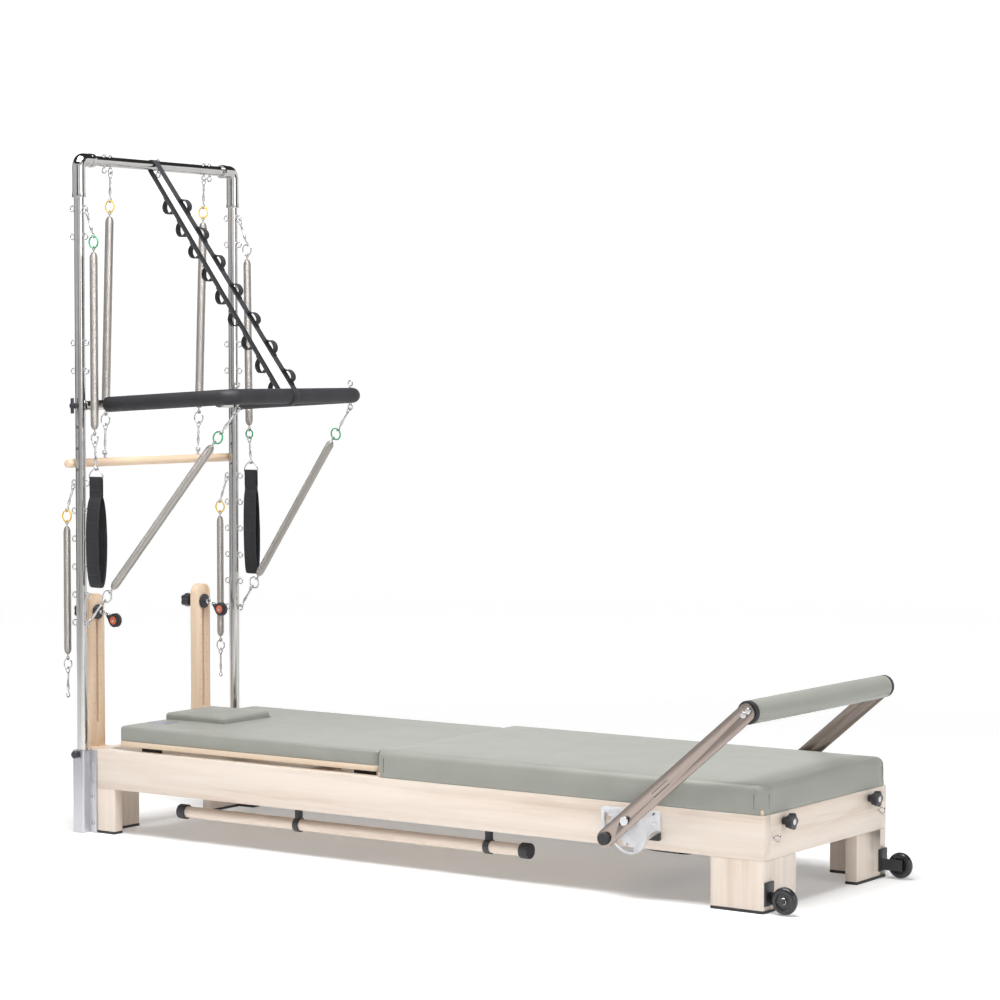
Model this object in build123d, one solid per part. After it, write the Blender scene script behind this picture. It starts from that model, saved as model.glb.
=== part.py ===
"""Pilates reformer with a full-height spring tower, a fitted mat and a tilting footbar.

Millimetres. +X points to the foot end, +Z up, and the origin is on the floor under the middle.
The near side is -Y. Everything is symmetric in Y except the storage pole and the far arm spring.
"""

from build123d import *
import math
import os

# Frame
FOOT_X = 1226
TOWER_X = -1174
HALF_W = 355
BOARD = 38
RAIL_LOW, RAIL_TOP = 141, 262
PAD = 8
SIDE_LEG_FOOT, SIDE_LEG_TOWER, END_LEG = 163, 95, 180

# Carriage, mat and headrest
CARRIAGE = (-1084, -72)
CARRIAGE_HALF_W = 330
CARRIAGE_Z = (274, 291, 338)
MAT = (-64, FOOT_X)
MAT_TOP = 348
HEADREST = (-1084, -834)
HEADREST_HALF_W = 118
HEADREST_TOP = 361
SOCKET_X, SOCKET_Y = -1016, 200
TRACK_Z = 204
WHEEL_R = 20

# Footbar
PIVOT_X, PIVOT_Z = 820, 220
BAR_LENGTH, BAR_ANGLE, BAR_TAIL = 494, 40.3, 84
ARM_Y = (392, 400)
ROLLER_R = 31.5

# Tower
POST_X, POST_Y, POST_R = -1198, 368, 16.5
TOP_Z, ELBOW_R = 2090, 21
EYE_OUT, EYE_R, EYE_WIRE = 27.8, 8.5, 2.4
LOW_EYES, EYE_STEP = 654, 87.2
HIGH_EYES = [1437, 1524, 1852, 1939]
HANG_Y = (224, 252)
PUSH_Z, PUSH_REACH, PUSH_RISE = 1330, 558, 30
PUSH_ARM_Y, FOAM_R = 312, 24
STRAP_Y = -24
DOWEL_X, DOWEL_Z, DOWEL_R, DOWEL_HALF = -1229.6, 1150, 14, 396

# Risers and foot-end fittings
RISER_X, RISER_Y, RISER_W, RISER_T, RISER_TOP = -1236, 256, 68, 28, 737
PULLEY_Z = 680
KNOB_END_X = -1317
CASTER_X, CASTER_Y, CASTER_Z, CASTER_R = 1280, 335, 39, 37
KNOB_Y, KNOB_Z = 246, 237
BRACKET_KNOB_Z = 246
POLE = (-838, 458)
POLE_Y, POLE_Z, POLE_R = -320, 91, 17.5
CLIPS_X = (-375, 315)

GAP = 0.3
DOWN = Vector(0, 0, -1)
X, Y, Z = Vector(1, 0, 0), Vector(0, 1, 0), Vector(0, 0, 1)


def box(x, y, z):
    """A block from three (low, high) pairs."""
    size = [b - a for a, b in (x, y, z)]
    middle = [(a + b) / 2 for a, b in (x, y, z)]
    return Pos(*middle) * Box(*size)


def rod(start, end, radius):
    """A round bar between two points."""
    start, end = Vector(*start), Vector(*end)
    along = end - start
    lift = (Align.CENTER, Align.CENTER, Align.MIN)
    return Plane(origin=start, z_dir=along) * Cylinder(radius, along.length, align=lift)


def ring(centre, axis, radius, wire):
    """A round ring of round wire."""
    return Plane(origin=Vector(*centre), z_dir=axis) * Torus(radius, wire)


def plate_y(outline, low, high):
    """An outline drawn in X and Z, given its thickness along Y."""
    return extrude(Plane.XZ.offset(-high) * outline, high - low)


def plate_x(outline, low, high):
    """An outline drawn in Y and Z, given its thickness along X."""
    return extrude(Plane.YZ.offset(low) * outline, high - low)


def far(shape):
    """The same shape on the +Y side."""
    return mirror(shape, about=Plane.XZ)


def both(*shapes):
    """Each shape and its twin on the other side."""
    return [twin for shape in shapes for twin in (shape, far(shape))]


def save(node, *shapes):
    """Write one node as a group of separate solids."""
    solids = [solid for shape in shapes for solid in shape.solids()]
    export_step(Compound(solids), f"parts/{node}.step")


def softened(shape, axis, amount):
    """Round the edges that run along one axis."""
    return fillet(shape.edges().filter_by(axis), amount)


# ---------------------------------------------------------------- chain links


def loop(at, down, flat, radius, wire):
    """A ring whose topmost wire is centred on a point, lying in the plane of down and flat."""
    return ring(at + down * radius, down.cross(flat), radius, wire)


def next_link(end, down, wire_above, wire_below):
    """Where the next link's top wire rests inside the one above."""
    return end - down * (wire_above + wire_below + GAP)


SNAP_WIRE, SNAP_TOP_R, SNAP_LOW_R, SNAP_LENGTH = 2.2, 8.5, 7, 94


def snap_hook(at, down, flat, length=SNAP_LENGTH):
    """A swivel snap hook: a nose loop, a swivel barrel and an eye."""
    nose = loop(at, down, flat, SNAP_TOP_R, SNAP_WIRE)
    end = at + down * length
    eye = ring(end - down * SNAP_LOW_R, down.cross(flat), SNAP_LOW_R, SNAP_WIRE)
    barrel = rod(at + down * (2 * SNAP_TOP_R), end - down * (2 * SNAP_LOW_R), 4.5)
    return nose + barrel + eye, end


RING_R, RING_WIRE = 18, 2.6


def spring_coil(at, down, flat, body, radius):
    """A closed-coil spring with a hooked eye at each end."""
    eye_r, wire, neck = 6, 1.8, 8
    top = loop(at, down, flat, eye_r, wire)
    start = at + down * (2 * eye_r + neck)
    finish = start + down * body
    end = finish + down * (2 * eye_r + neck)
    low = ring(end - down * eye_r, down.cross(flat), eye_r, wire)
    coil = rod(start, finish, radius)
    coil = chamfer(coil.edges().filter_by(GeomType.CIRCLE), 4)
    necks = rod(at + down * (2 * eye_r), end - down * (2 * eye_r), wire)
    return top + coil + necks + low, end


def spring_set(at, down, radius, body, flat=Y, cross=X):
    """Snap hook, ring, spring, ring and a lower snap hook."""
    upper, end = snap_hook(at, down, flat)
    at = next_link(end, down, SNAP_WIRE, RING_WIRE)
    top_ring = loop(at, down, cross, RING_R, RING_WIRE)
    at = next_link(at + down * 2 * RING_R, down, RING_WIRE, 1.8)
    coil, end = spring_coil(at, down, flat, body, radius)
    at = next_link(end, down, 1.8, RING_WIRE)
    low_ring = loop(at, down, cross, RING_R, RING_WIRE)
    at = next_link(at + down * 2 * RING_R, down, RING_WIRE, SNAP_WIRE)
    lower, end = snap_hook(at, down, flat)
    return [upper, top_ring, coil, low_ring, lower], end


def fitted_body(at, low, down):
    """The body length that makes a spring set end at a given point."""
    trial = 100
    _, end = spring_set(at, down, 13, trial)
    return trial + (low - end).dot(down)


# ---------------------------------------------------------------- wooden frame


def rails():
    rail = box((TOWER_X, FOOT_X), (-HALF_W, -HALF_W + BOARD), (RAIL_LOW, RAIL_TOP))
    outer = rail.edges().filter_by(Axis.Z).sort_by(Axis.Y)[:2]
    rail = fillet(outer, 9)
    rail -= rod((PIVOT_X, -HALF_W - 5, PIVOT_Z), (PIVOT_X, -HALF_W + BOARD + 5, PIVOT_Z), 8.05)
    save("side_rails", *both(rail))
    inner = HALF_W - BOARD
    head = box((TOWER_X, TOWER_X + BOARD), (-inner, inner), (RAIL_LOW, RAIL_TOP))
    foot = box((FOOT_X - BOARD, FOOT_X), (-inner, inner), (RAIL_LOW, RAIL_TOP))
    for y in (-KNOB_Y, KNOB_Y):
        foot -= rod((FOOT_X - 60, y, KNOB_Z), (FOOT_X + 10, y, KNOB_Z), 5.05)
    save("end_boards", head, foot)


def leg(corner_x, inward, side_length, low, high):
    """An L-shaped leg of two boards at a near-side corner."""
    end = corner_x + inward * BOARD
    run = corner_x + inward * side_length
    side = box(sorted((corner_x, run)), (-HALF_W, -HALF_W + BOARD), (low, high))
    edge = side.edges().filter_by(Axis.Z).sort_by(Axis.Y)[:2]
    side = fillet(edge.sort_by(Axis.X)[-1 if inward < 0 else 0], 9)
    across = (-HALF_W + BOARD, -HALF_W + END_LEG)
    return [side, box(sorted((corner_x, end)), across, (low, high))]


def legs():
    foot = leg(FOOT_X, -1, SIDE_LEG_FOOT, PAD, RAIL_LOW)
    tower = leg(TOWER_X, 1, SIDE_LEG_TOWER, PAD, RAIL_LOW)
    save("legs", *both(*foot, *tower))
    foot_pad = leg(FOOT_X, -1, SIDE_LEG_FOOT, 0, PAD)
    tower_pad = leg(TOWER_X, 1, SIDE_LEG_TOWER, 0, PAD)
    pads = [foot_pad[0] + foot_pad[1], tower_pad[0] + tower_pad[1]]
    save("foot_pads", *both(*pads))


def inside_frame():
    inner = HALF_W - BOARD
    braces = [box((x, x + 90), (-inner, inner), (RAIL_LOW, 159)) for x in (-800, -120, 560)]
    save("cross_braces", *braces)
    track = box((TOWER_X + BOARD, FOOT_X - BOARD), (-inner, -inner + 4), (180, 244))
    track += box((TOWER_X + BOARD, FOOT_X - BOARD), (-inner, -inner + 32), (TRACK_Z - 4, TRACK_Z))
    save("carriage_tracks", *both(track))
    bar = box((1110, 1130), (-inner + 33, inner - 33), (196, 216))
    coils = []
    for y in (-120, -60, 0, 60, 120):
        bar += box((1096, 1111), (y - 4, y + 4), (198, 202)) + rod((1100, y, 200), (1100, y, 214), 3.5)
        hook = ring((1098, y, 206), Z, 8, 2)
        body = rod((1080, y, 206), (520, y, 206), 14)
        body = chamfer(body.edges().filter_by(GeomType.CIRCLE), 4)
        coils.append(body + rod((1090, y, 206), (1078, y, 206), 2) + hook)
    save("spring_bar", bar)
    save("carriage_springs", *coils)


# ---------------------------------------------------------------- carriage


def carriage():
    low, mid, top = CARRIAGE_Z
    side = (-CARRIAGE_HALF_W, CARRIAGE_HALF_W)
    board = softened(box(CARRIAGE, side, (low, mid)), Axis.Z, 22)
    pocket_x = (HEADREST[0] - 1, HEADREST[1] + 2)
    pocket_y = (-HEADREST_HALF_W - 2, HEADREST_HALF_W + 2)
    cushion = softened(box(CARRIAGE, side, (mid, top)), Axis.Z, 22)
    cushion -= box(pocket_x, pocket_y, (mid - 1, top + 1))
    rim = cushion.faces().sort_by(Axis.Z)[-1].outer_wire().edges()
    cushion = fillet(rim.filter_by(Axis.X).sort_by(Axis.Y)[-1], 6)
    sockets = []
    for y in (-SOCKET_Y, SOCKET_Y):
        cushion -= box((SOCKET_X - 45, SOCKET_X + 45), (y - 25, y + 25), (top - 6, top + 1))
        cushion -= box((SOCKET_X + 5, SOCKET_X + 40), (y - 18, y + 18), (mid - 1, top))
        plate = box((SOCKET_X - 45, SOCKET_X + 45), (y - 25, y + 25), (top - 5, top - 1))
        tube = box((SOCKET_X + 5, SOCKET_X + 40), (y - 18, y + 18), (mid, top - 5))
        for dy in (-9, 9):
            slot = box((SOCKET_X + 12, SOCKET_X + 33), (y + dy - 4, y + dy + 4), (mid + 6, top))
            plate -= slot
            tube -= slot
        sockets.append(plate + tube)
    save("carriage_board", board)
    save("carriage_cushion", cushion)
    save("shoulder_sockets", *sockets)


def carriage_gear():
    """Angle brackets with axle studs under the board, and the wheels that run on the tracks."""
    brackets = []
    wheels = {"head": [], "foot": []}
    axle_z = TRACK_Z + GAP + WHEEL_R
    for end, x in (("head", CARRIAGE[0] + 90), ("foot", CARRIAGE[1] - 90)):
        bracket = box((x - 40, x + 40), (-276, -271), (axle_z - 14, CARRIAGE_Z[0]))
        bracket += box((x - 40, x + 40), (-271, -240), (CARRIAGE_Z[0] - 5, CARRIAGE_Z[0]))
        bracket += rod((x, -276, axle_z), (x, -300, axle_z), 5)
        brackets += both(bracket)
        wheel = rod((x, -281, axle_z), (x, -299, axle_z), WHEEL_R)
        wheel -= rod((x, -270, axle_z), (x, -310, axle_z), 5.05)
        wheels[end] = both(wheel)
    save("carriage_runners", *brackets)
    save("carriage_wheels_head", *wheels["head"])
    save("carriage_wheels_foot", *wheels["foot"])


def headrest():
    side = (-HEADREST_HALF_W, HEADREST_HALF_W)
    board_top = CARRIAGE_Z[1] + 12
    board = box(HEADREST, side, (CARRIAGE_Z[1] + GAP, board_top))
    cushion = softened(box(HEADREST, side, (board_top, HEADREST_TOP)), Axis.Z, 18)
    save("headrest_board", softened(board, Axis.Z, 18))
    save("headrest_cushion", fillet(cushion.faces().sort_by(Axis.Z)[-1].edges(), 7))


def mat():
    side = (-HALF_W, HALF_W)
    board = box((MAT[0] + 6, MAT[1] - 6), (-HALF_W + 6, HALF_W - 6), (RAIL_TOP + GAP, 276))
    cushion = softened(box(MAT, side, (RAIL_TOP + GAP, MAT_TOP)), Axis.Z, 20)
    cushion = fillet(cushion.faces().sort_by(Axis.Z)[-1].edges(), 14)
    cushion -= box((MAT[0] + 6, MAT[1] - 6), (-HALF_W + 6, HALF_W - 6), (RAIL_TOP - 5, 276))
    cleats = [
        box((FOOT_X - BOARD - 32, FOOT_X - BOARD - 2), (y - 45, y + 45), (218, RAIL_TOP + GAP))
        for y in (-KNOB_Y, KNOB_Y)
    ]
    for cleat in cleats:
        board += cleat
    save("mat_board", board)
    save("mat_cushion", cushion)


# ---------------------------------------------------------------- footbar


def tilted(shape):
    """Turn a shape drawn with the footbar level up to its working angle."""
    about = Axis((PIVOT_X, 0, PIVOT_Z), (0, -1, 0))
    return shape.rotate(about, BAR_ANGLE)


def footbar_plate():
    """The notched plate: a rounded plate with a hanging lobe and an arc of notches."""
    body = Pos(-7, -8) * RectangleRounded(190, 72, 12)
    lobe = Pos(-10, -42) * Circle(56)
    outline = body + lobe
    cut = Pos(88, -70) * Circle(44)
    slots = Circle(91) - Circle(77)
    wedge = Polygon((0, 0), (-240, 30), (-240, -240), (10, -240), align=None)
    slots = slots & wedge
    for turn in (3, 22, 41, 60, 79):
        notch = Rot(0, 0, 180 + turn) * (Pos(80, 0) * Rectangle(22, 12))
        slots += notch
    outline = outline - cut - slots - Circle(8.05)
    return plate_y(Pos(PIVOT_X, PIVOT_Z) * outline, -HALF_W - 6, -HALF_W)


def footbar():
    save("footbar_plates", *both(footbar_plate()))
    pivot = rod((PIVOT_X, -HALF_W + 30, PIVOT_Z), (PIVOT_X, -ARM_Y[1] - 1, PIVOT_Z), 8)
    washer_in = rod((PIVOT_X, -HALF_W - 6.4, PIVOT_Z), (PIVOT_X, -ARM_Y[0] + GAP, PIVOT_Z), 15)
    head = rod((PIVOT_X, -ARM_Y[1] - 0.6, PIVOT_Z), (PIVOT_X, -ARM_Y[1] - 6, PIVOT_Z), 13)
    save("footbar_pivots", *both(pivot + washer_in + fillet(head.edges(), 1.5)))
    end_x = PIVOT_X + BAR_LENGTH
    span = BAR_LENGTH + BAR_TAIL + 50
    middle = PIVOT_X + (BAR_LENGTH - BAR_TAIL) / 2
    outline = Pos(middle, PIVOT_Z) * SlotOverall(span, 50)
    slot = Pos(PIVOT_X - 7, PIVOT_Z) * SlotOverall(30.1, 16.1)
    arm = plate_y(outline - slot, -ARM_Y[1], -ARM_Y[0])
    for along in (-9, 9):
        hole = (end_x + along, -410, PIVOT_Z)
        arm -= rod(hole, (end_x + along, -380, PIVOT_Z), 5)
    save("footbar_arms", *both(tilted(arm)))
    tube = rod((end_x, -ARM_Y[0], PIVOT_Z), (end_x, ARM_Y[0], PIVOT_Z), 19)
    tube -= rod((end_x, -ARM_Y[0] + 12, PIVOT_Z), (end_x, ARM_Y[0] - 12, PIVOT_Z), 16)
    bolts = []
    for along in (-9, 9):
        tip = (end_x + along, -ARM_Y[0], PIVOT_Z)
        bolts.append(rod(tip, (end_x + along, -ARM_Y[1] - 1, PIVOT_Z), 5))
        cap = rod((end_x + along, -ARM_Y[1], PIVOT_Z), (end_x + along, -ARM_Y[1] - 6, PIVOT_Z), 9)
        bolts[-1] += fillet(cap.edges().sort_by(Axis.Y)[0], 3)
    save("footbar_tube", tilted(tube), *both(*[tilted(bolt) for bolt in bolts]))
    pad = rod((end_x, -ARM_Y[0] + 12, PIVOT_Z), (end_x, ARM_Y[0] - 12, PIVOT_Z), ROLLER_R)
    pad -= rod((end_x, -400, PIVOT_Z), (end_x, 400, PIVOT_Z), 19)
    save("footbar_pad", tilted(pad))
    cap = rod((end_x, -ARM_Y[0], PIVOT_Z), (end_x, -ARM_Y[0] + 12, PIVOT_Z), ROLLER_R + 0.5)
    cap -= rod((end_x, -400, PIVOT_Z), (end_x, -370, PIVOT_Z), 19)
    tail_x = PIVOT_X - BAR_TAIL
    grip = rod((tail_x, -ARM_Y[1], PIVOT_Z), (tail_x, -ARM_Y[1] - 14, PIVOT_Z), 18)
    grip = fillet(grip.edges().sort_by(Axis.Y)[0], 5)
    peg = rod((tail_x, -ARM_Y[0], PIVOT_Z), (tail_x, -HALF_W - 7, PIVOT_Z), 5)
    save("footbar_grips", *both(tilted(cap), tilted(grip), tilted(peg)))


# ---------------------------------------------------------------- tower


def eye_heights():
    return [LOW_EYES + EYE_STEP * i for i in range(6)] + HIGH_EYES


def double_eye(z):
    """A threaded rod through a near post with a ring eye at each end."""
    shape = rod((POST_X - 19, -POST_Y, z), (POST_X + 19, -POST_Y, z), 3)
    for side in (-1, 1):
        shape += ring((POST_X + side * EYE_OUT, -POST_Y, z), Y, EYE_R, EYE_WIRE)
    return shape


def hanging_eye(y):
    """An eyebolt through the top bar with its ring below and its nut above."""
    shape = rod((POST_X, y, TOP_Z + 22), (POST_X, y, TOP_Z - 19), 3)
    shape += rod((POST_X, y, TOP_Z + 16.2), (POST_X, y, TOP_Z + 20), 6)
    return shape + ring((POST_X, y, TOP_Z - EYE_OUT), Y, EYE_R, EYE_WIRE)


def tower():
    top = TOP_Z - 36
    post = rod((POST_X, -POST_Y, 6), (POST_X, -POST_Y, top), POST_R)
    post -= rod((POST_X, -POST_Y, 6), (POST_X, -POST_Y, top), POST_R - 2)
    for z in eye_heights():
        post -= rod((POST_X - 30, -POST_Y, z), (POST_X + 30, -POST_Y, z), 3)
    post -= rod((POST_X, -POST_Y - 30, PUSH_Z), (POST_X, -POST_Y + 30, PUSH_Z), 8)
    for i in (1, 2, 3):
        z = PUSH_Z - 66 * i
        post -= rod((POST_X, -POST_Y - 30, z), (POST_X, -POST_Y + 30, z), 5)
    save("tower_posts", *both(post))
    bar_end = POST_Y - 36
    bar = rod((POST_X, -bar_end, TOP_Z), (POST_X, bar_end, TOP_Z), 16)
    bar -= rod((POST_X, -bar_end, TOP_Z), (POST_X, bar_end, TOP_Z), 14)
    hangers = [-HANG_Y[1], -HANG_Y[0], 0, HANG_Y[0], HANG_Y[1]]
    for y in hangers:
        bar -= rod((POST_X, y, TOP_Z - 30), (POST_X, y, TOP_Z + 30), 3)
    save("tower_top_bar", bar)
    save("eyebolts", *both(*[double_eye(z) for z in eye_heights()]), *map(hanging_eye, hangers))
    elbow = rod((POST_X, -POST_Y, TOP_Z - 118), (POST_X, -POST_Y, TOP_Z), ELBOW_R)
    elbow += rod((POST_X, -POST_Y, TOP_Z), (POST_X, -POST_Y + 62, TOP_Z), ELBOW_R)
    elbow += Pos(POST_X, -POST_Y, TOP_Z) * Sphere(ELBOW_R)
    elbow -= rod((POST_X, -POST_Y, TOP_Z - 120), (POST_X, -POST_Y, top), POST_R)
    elbow -= rod((POST_X, -POST_Y + 36, TOP_Z), (POST_X, -POST_Y + 64, TOP_Z), 16)
    save("tower_elbows", *both(elbow))


def tower_brackets():
    outline = Pos(POST_X, -POST_Y) * RectangleRounded(46, 46, 8)
    sleeve = extrude(Plane.XY.offset(2) * outline, 256)
    flange = box((TOWER_X - 1.5, TOWER_X + 26), (-HALF_W - 6, -HALF_W), (2, 258))
    bracket = sleeve + flange
    bracket -= rod((POST_X, -POST_Y, 6), (POST_X, -POST_Y, 300), POST_R + 0.05)
    bracket -= rod((POST_X, -POST_Y, BRACKET_KNOB_Z), (POST_X, -400, BRACKET_KNOB_Z), 4.05)
    save("tower_brackets", *both(bracket))
    knob_z = BRACKET_KNOB_Z
    stem = rod((POST_X, -POST_Y - 17, knob_z), (POST_X, -POST_Y - 27, knob_z), 4)
    head = rod((POST_X, -POST_Y - 23.4, knob_z), (POST_X, -POST_Y - 41, knob_z), 12)
    save("bracket_knob_near", stem + head)
    save("bracket_knob_far", far(stem + head))


# ---------------------------------------------------------------- push-through bar


def push_bar():
    corner_x = POST_X + PUSH_REACH
    arm_z = PUSH_Z + PUSH_RISE
    start = Vector(POST_X, -PUSH_ARM_Y, PUSH_Z)
    corner = Vector(corner_x, -PUSH_ARM_Y, arm_z)
    along = (corner - start).normalized()
    arm = rod(start + along * 10, corner, 16)
    cross = rod(corner, (corner_x, PUSH_ARM_Y, arm_z), 16)
    barrel = rod((POST_X, -PUSH_ARM_Y + 18, PUSH_Z), (POST_X, -POST_Y + POST_R + 1, PUSH_Z), 15)
    barrel_bore = rod((POST_X, -200, PUSH_Z), (POST_X, -400, PUSH_Z), 8.06)
    frame = arm + far(arm) + cross + barrel + far(barrel) - barrel_bore - far(barrel_bore)
    frame += Pos(*corner) * Sphere(16)
    frame += Pos(corner_x, PUSH_ARM_Y, arm_z) * Sphere(16)
    foam = rod(start + along * 62, corner, FOAM_R) + rod(corner, far_point(corner), FOAM_R)
    foam += rod(far_point(start + along * 62), far_point(corner), FOAM_R)
    foam += Pos(*corner) * Sphere(FOAM_R) + Pos(*far_point(corner)) * Sphere(FOAM_R)
    foam -= frame
    eyes = []
    for y in (-PUSH_ARM_Y + 34, PUSH_ARM_Y - 34):
        hole = rod((corner_x, y, arm_z - 30), (corner_x, y, arm_z + 30), 3)
        frame -= hole
        foam -= hole
        eye = rod((corner_x, y, arm_z - FOAM_R - 6), (corner_x, y, arm_z + FOAM_R + 6), 3)
        for side in (-1, 1):
            eye += ring((corner_x, y, arm_z + side * (FOAM_R + 14)), Y, EYE_R, EYE_WIRE)
        eyes.append(eye)
    save("push_bar_tube", frame, *eyes)
    save("push_bar_sleeve", foam)
    bolt = rod((POST_X, -PUSH_ARM_Y + 26, PUSH_Z), (POST_X, -POST_Y - 30, PUSH_Z), 8)
    inner_nut = rod((POST_X, -PUSH_ARM_Y + 18.4, PUSH_Z), (POST_X, -PUSH_ARM_Y + 26, PUSH_Z), 12)
    handle = rod((POST_X, -POST_Y - 24, PUSH_Z), (POST_X, -POST_Y - 40, PUSH_Z), 9)
    handle += rod((POST_X, -POST_Y - 36, PUSH_Z - 24), (POST_X, -POST_Y - 36, PUSH_Z + 24), 5.5)
    save("push_bar_handles", *both(bolt + inner_nut + handle))


def far_point(point):
    return Vector(point.X, -point.Y, point.Z)


def push_springs():
    corner_x = POST_X + PUSH_REACH
    low_eye = Vector(POST_X + EYE_OUT, -POST_Y, LOW_EYES)
    high_eye = Vector(corner_x, -PUSH_ARM_Y + 34, PUSH_Z + PUSH_RISE - FOAM_R - 14)
    down = (low_eye - high_eye).normalized()
    flat = down.cross(X).normalized()
    side = down.cross(flat).normalized()
    at = high_eye + down * (EYE_R - EYE_WIRE - SNAP_WIRE - GAP)
    low = low_eye - down * (EYE_R - EYE_WIRE - SNAP_WIRE - GAP)
    body = fitted_body(at, low, down)
    pieces, _ = spring_set(at, down, 13, body, flat=flat, cross=side)
    save("push_springs", *both(*pieces))


def ladder_strap():
    """One webbing loop round the top bar and the crossbar, with hand loops sewn on both runs."""
    high = Vector(POST_X, TOP_Z)
    low = Vector(POST_X + PUSH_REACH, PUSH_Z + PUSH_RISE)
    outline = belt(high, 16 + 0.5 + 2.5, low, FOAM_R + 0.5 + 2.5)
    outline -= belt(high, 16 + 0.5, low, FOAM_R + 0.5)
    along = (low - high).normalized()
    across = Vector(-along.Y, along.X)
    turn = math.degrees(math.atan2(along.Y, along.X))
    span = (low - high).length
    for side, count, first in ((1, 9, 0.16), (-1, 7, 0.2)):
        for i in range(count):
            share = first + (0.94 - first) * i / (count - 1)
            reach = 19 + (27 - 19) * share - 1.5
            spot = high + along * (span * share) + across * (side * reach)
            arch = Circle(24) - Circle(21.5)
            arch &= Pos(0, side * 24) * Rectangle(80, 48)
            outline += Pos(spot.X, spot.Y) * Rot(0, 0, turn) * arch
    save("ladder_strap", plate_y(outline, STRAP_Y - 12.5, STRAP_Y + 12.5))


def belt(a, radius_a, b, radius_b):
    """The outline of a tight belt round two circles."""
    circles = [Pos(a.X, a.Y) * Circle(radius_a), Pos(b.X, b.Y) * Circle(radius_b)]
    edges = [edge for circle in circles for edge in circle.edges()]
    return make_hull(edges)


# ---------------------------------------------------------------- hanging springs


def roll_down():
    """A maple dowel hung from the top bar on two springs, leaning on the backs of the posts."""
    top = Vector(POST_X, 0, TOP_Z - EYE_OUT - EYE_R)
    lean = math.degrees(math.atan2(POST_X - DOWEL_X, top.Z - DOWEL_Z))
    at = Vector(POST_X, -HANG_Y[0], top.Z + EYE_WIRE + SNAP_WIRE + GAP)
    target = DOWEL_Z + DOWEL_R + 8 + EYE_R
    low = Vector(POST_X, at.Y, target - EYE_R + EYE_WIRE + SNAP_WIRE + GAP)
    body = fitted_body(at, low, DOWN)
    pieces, _ = spring_set(at, DOWN, 14, body)
    about = Axis((POST_X, 0, at.Z), (0, 1, 0))
    pieces = [piece.rotate(about, lean) for piece in both(*pieces)]
    dowel = rod((POST_X, -DOWEL_HALF, DOWEL_Z), (POST_X, DOWEL_HALF, DOWEL_Z), DOWEL_R)
    dowel = fillet(dowel.edges().filter_by(GeomType.CIRCLE), 4)
    eyes = []
    for y in (-HANG_Y[0], HANG_Y[0]):
        stem = rod((POST_X, y, DOWEL_Z - 6), (POST_X, y, target - EYE_R + 1), 2.5)
        dowel -= rod((POST_X, y, DOWEL_Z - 6), (POST_X, y, target), 2.5)
        eyes.append(stem + ring((POST_X, y, target), Y, EYE_R, EYE_WIRE))
    save("roll_down_bar", dowel.rotate(about, lean))
    save("roll_down_springs", *pieces, *[eye.rotate(about, lean) for eye in eyes])


def d_ring(at, half_width=29, wire=2.3):
    """A D ring hanging from a point, with its straight bar below, in the X and Z plane."""
    centre = at + DOWN * half_width
    as_drawn = (Align.NONE, Align.NONE, Align.NONE)
    bow = Torus(half_width, wire, major_angle=180, align=as_drawn)
    bow = Plane(origin=centre, x_dir=X, z_dir=(0, -1, 0)) * bow
    bar = rod(centre - X * half_width, centre + X * half_width, wire)
    ends = Pos(*(centre - X * half_width)) * Sphere(wire)
    ends += Pos(*(centre + X * half_width)) * Sphere(wire)
    return bow + bar + ends, centre


def hand_loop(centre, length, bulge, width=50, thick=2.6):
    """A padded webbing loop hung on a D ring's bar."""
    wrap = 2.3 + GAP
    tail = Pos(centre.Y, centre.Z) * Circle(wrap + thick)
    neck = Pos(centre.Y, centre.Z - 30) * Rectangle(2 * thick + 2 * wrap, 60)
    low = centre.Z - length
    pocket = Pos(centre.Y, (centre.Z - 60 + low) / 2) * Ellipse(bulge, (length - 52) / 2)
    outer = tail + neck + pocket
    inner = Pos(centre.Y, centre.Z) * Circle(wrap)
    inner += Pos(centre.Y, centre.Z - 20) * Rectangle(2 * wrap, 40)
    opening = Pos(centre.Y, (centre.Z - 60 + low) / 2)
    inner += opening * Ellipse(bulge - thick, (length - 52) / 2 - thick)
    return plate_x(outer - inner, centre.X - width / 2, centre.X + width / 2)


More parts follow.
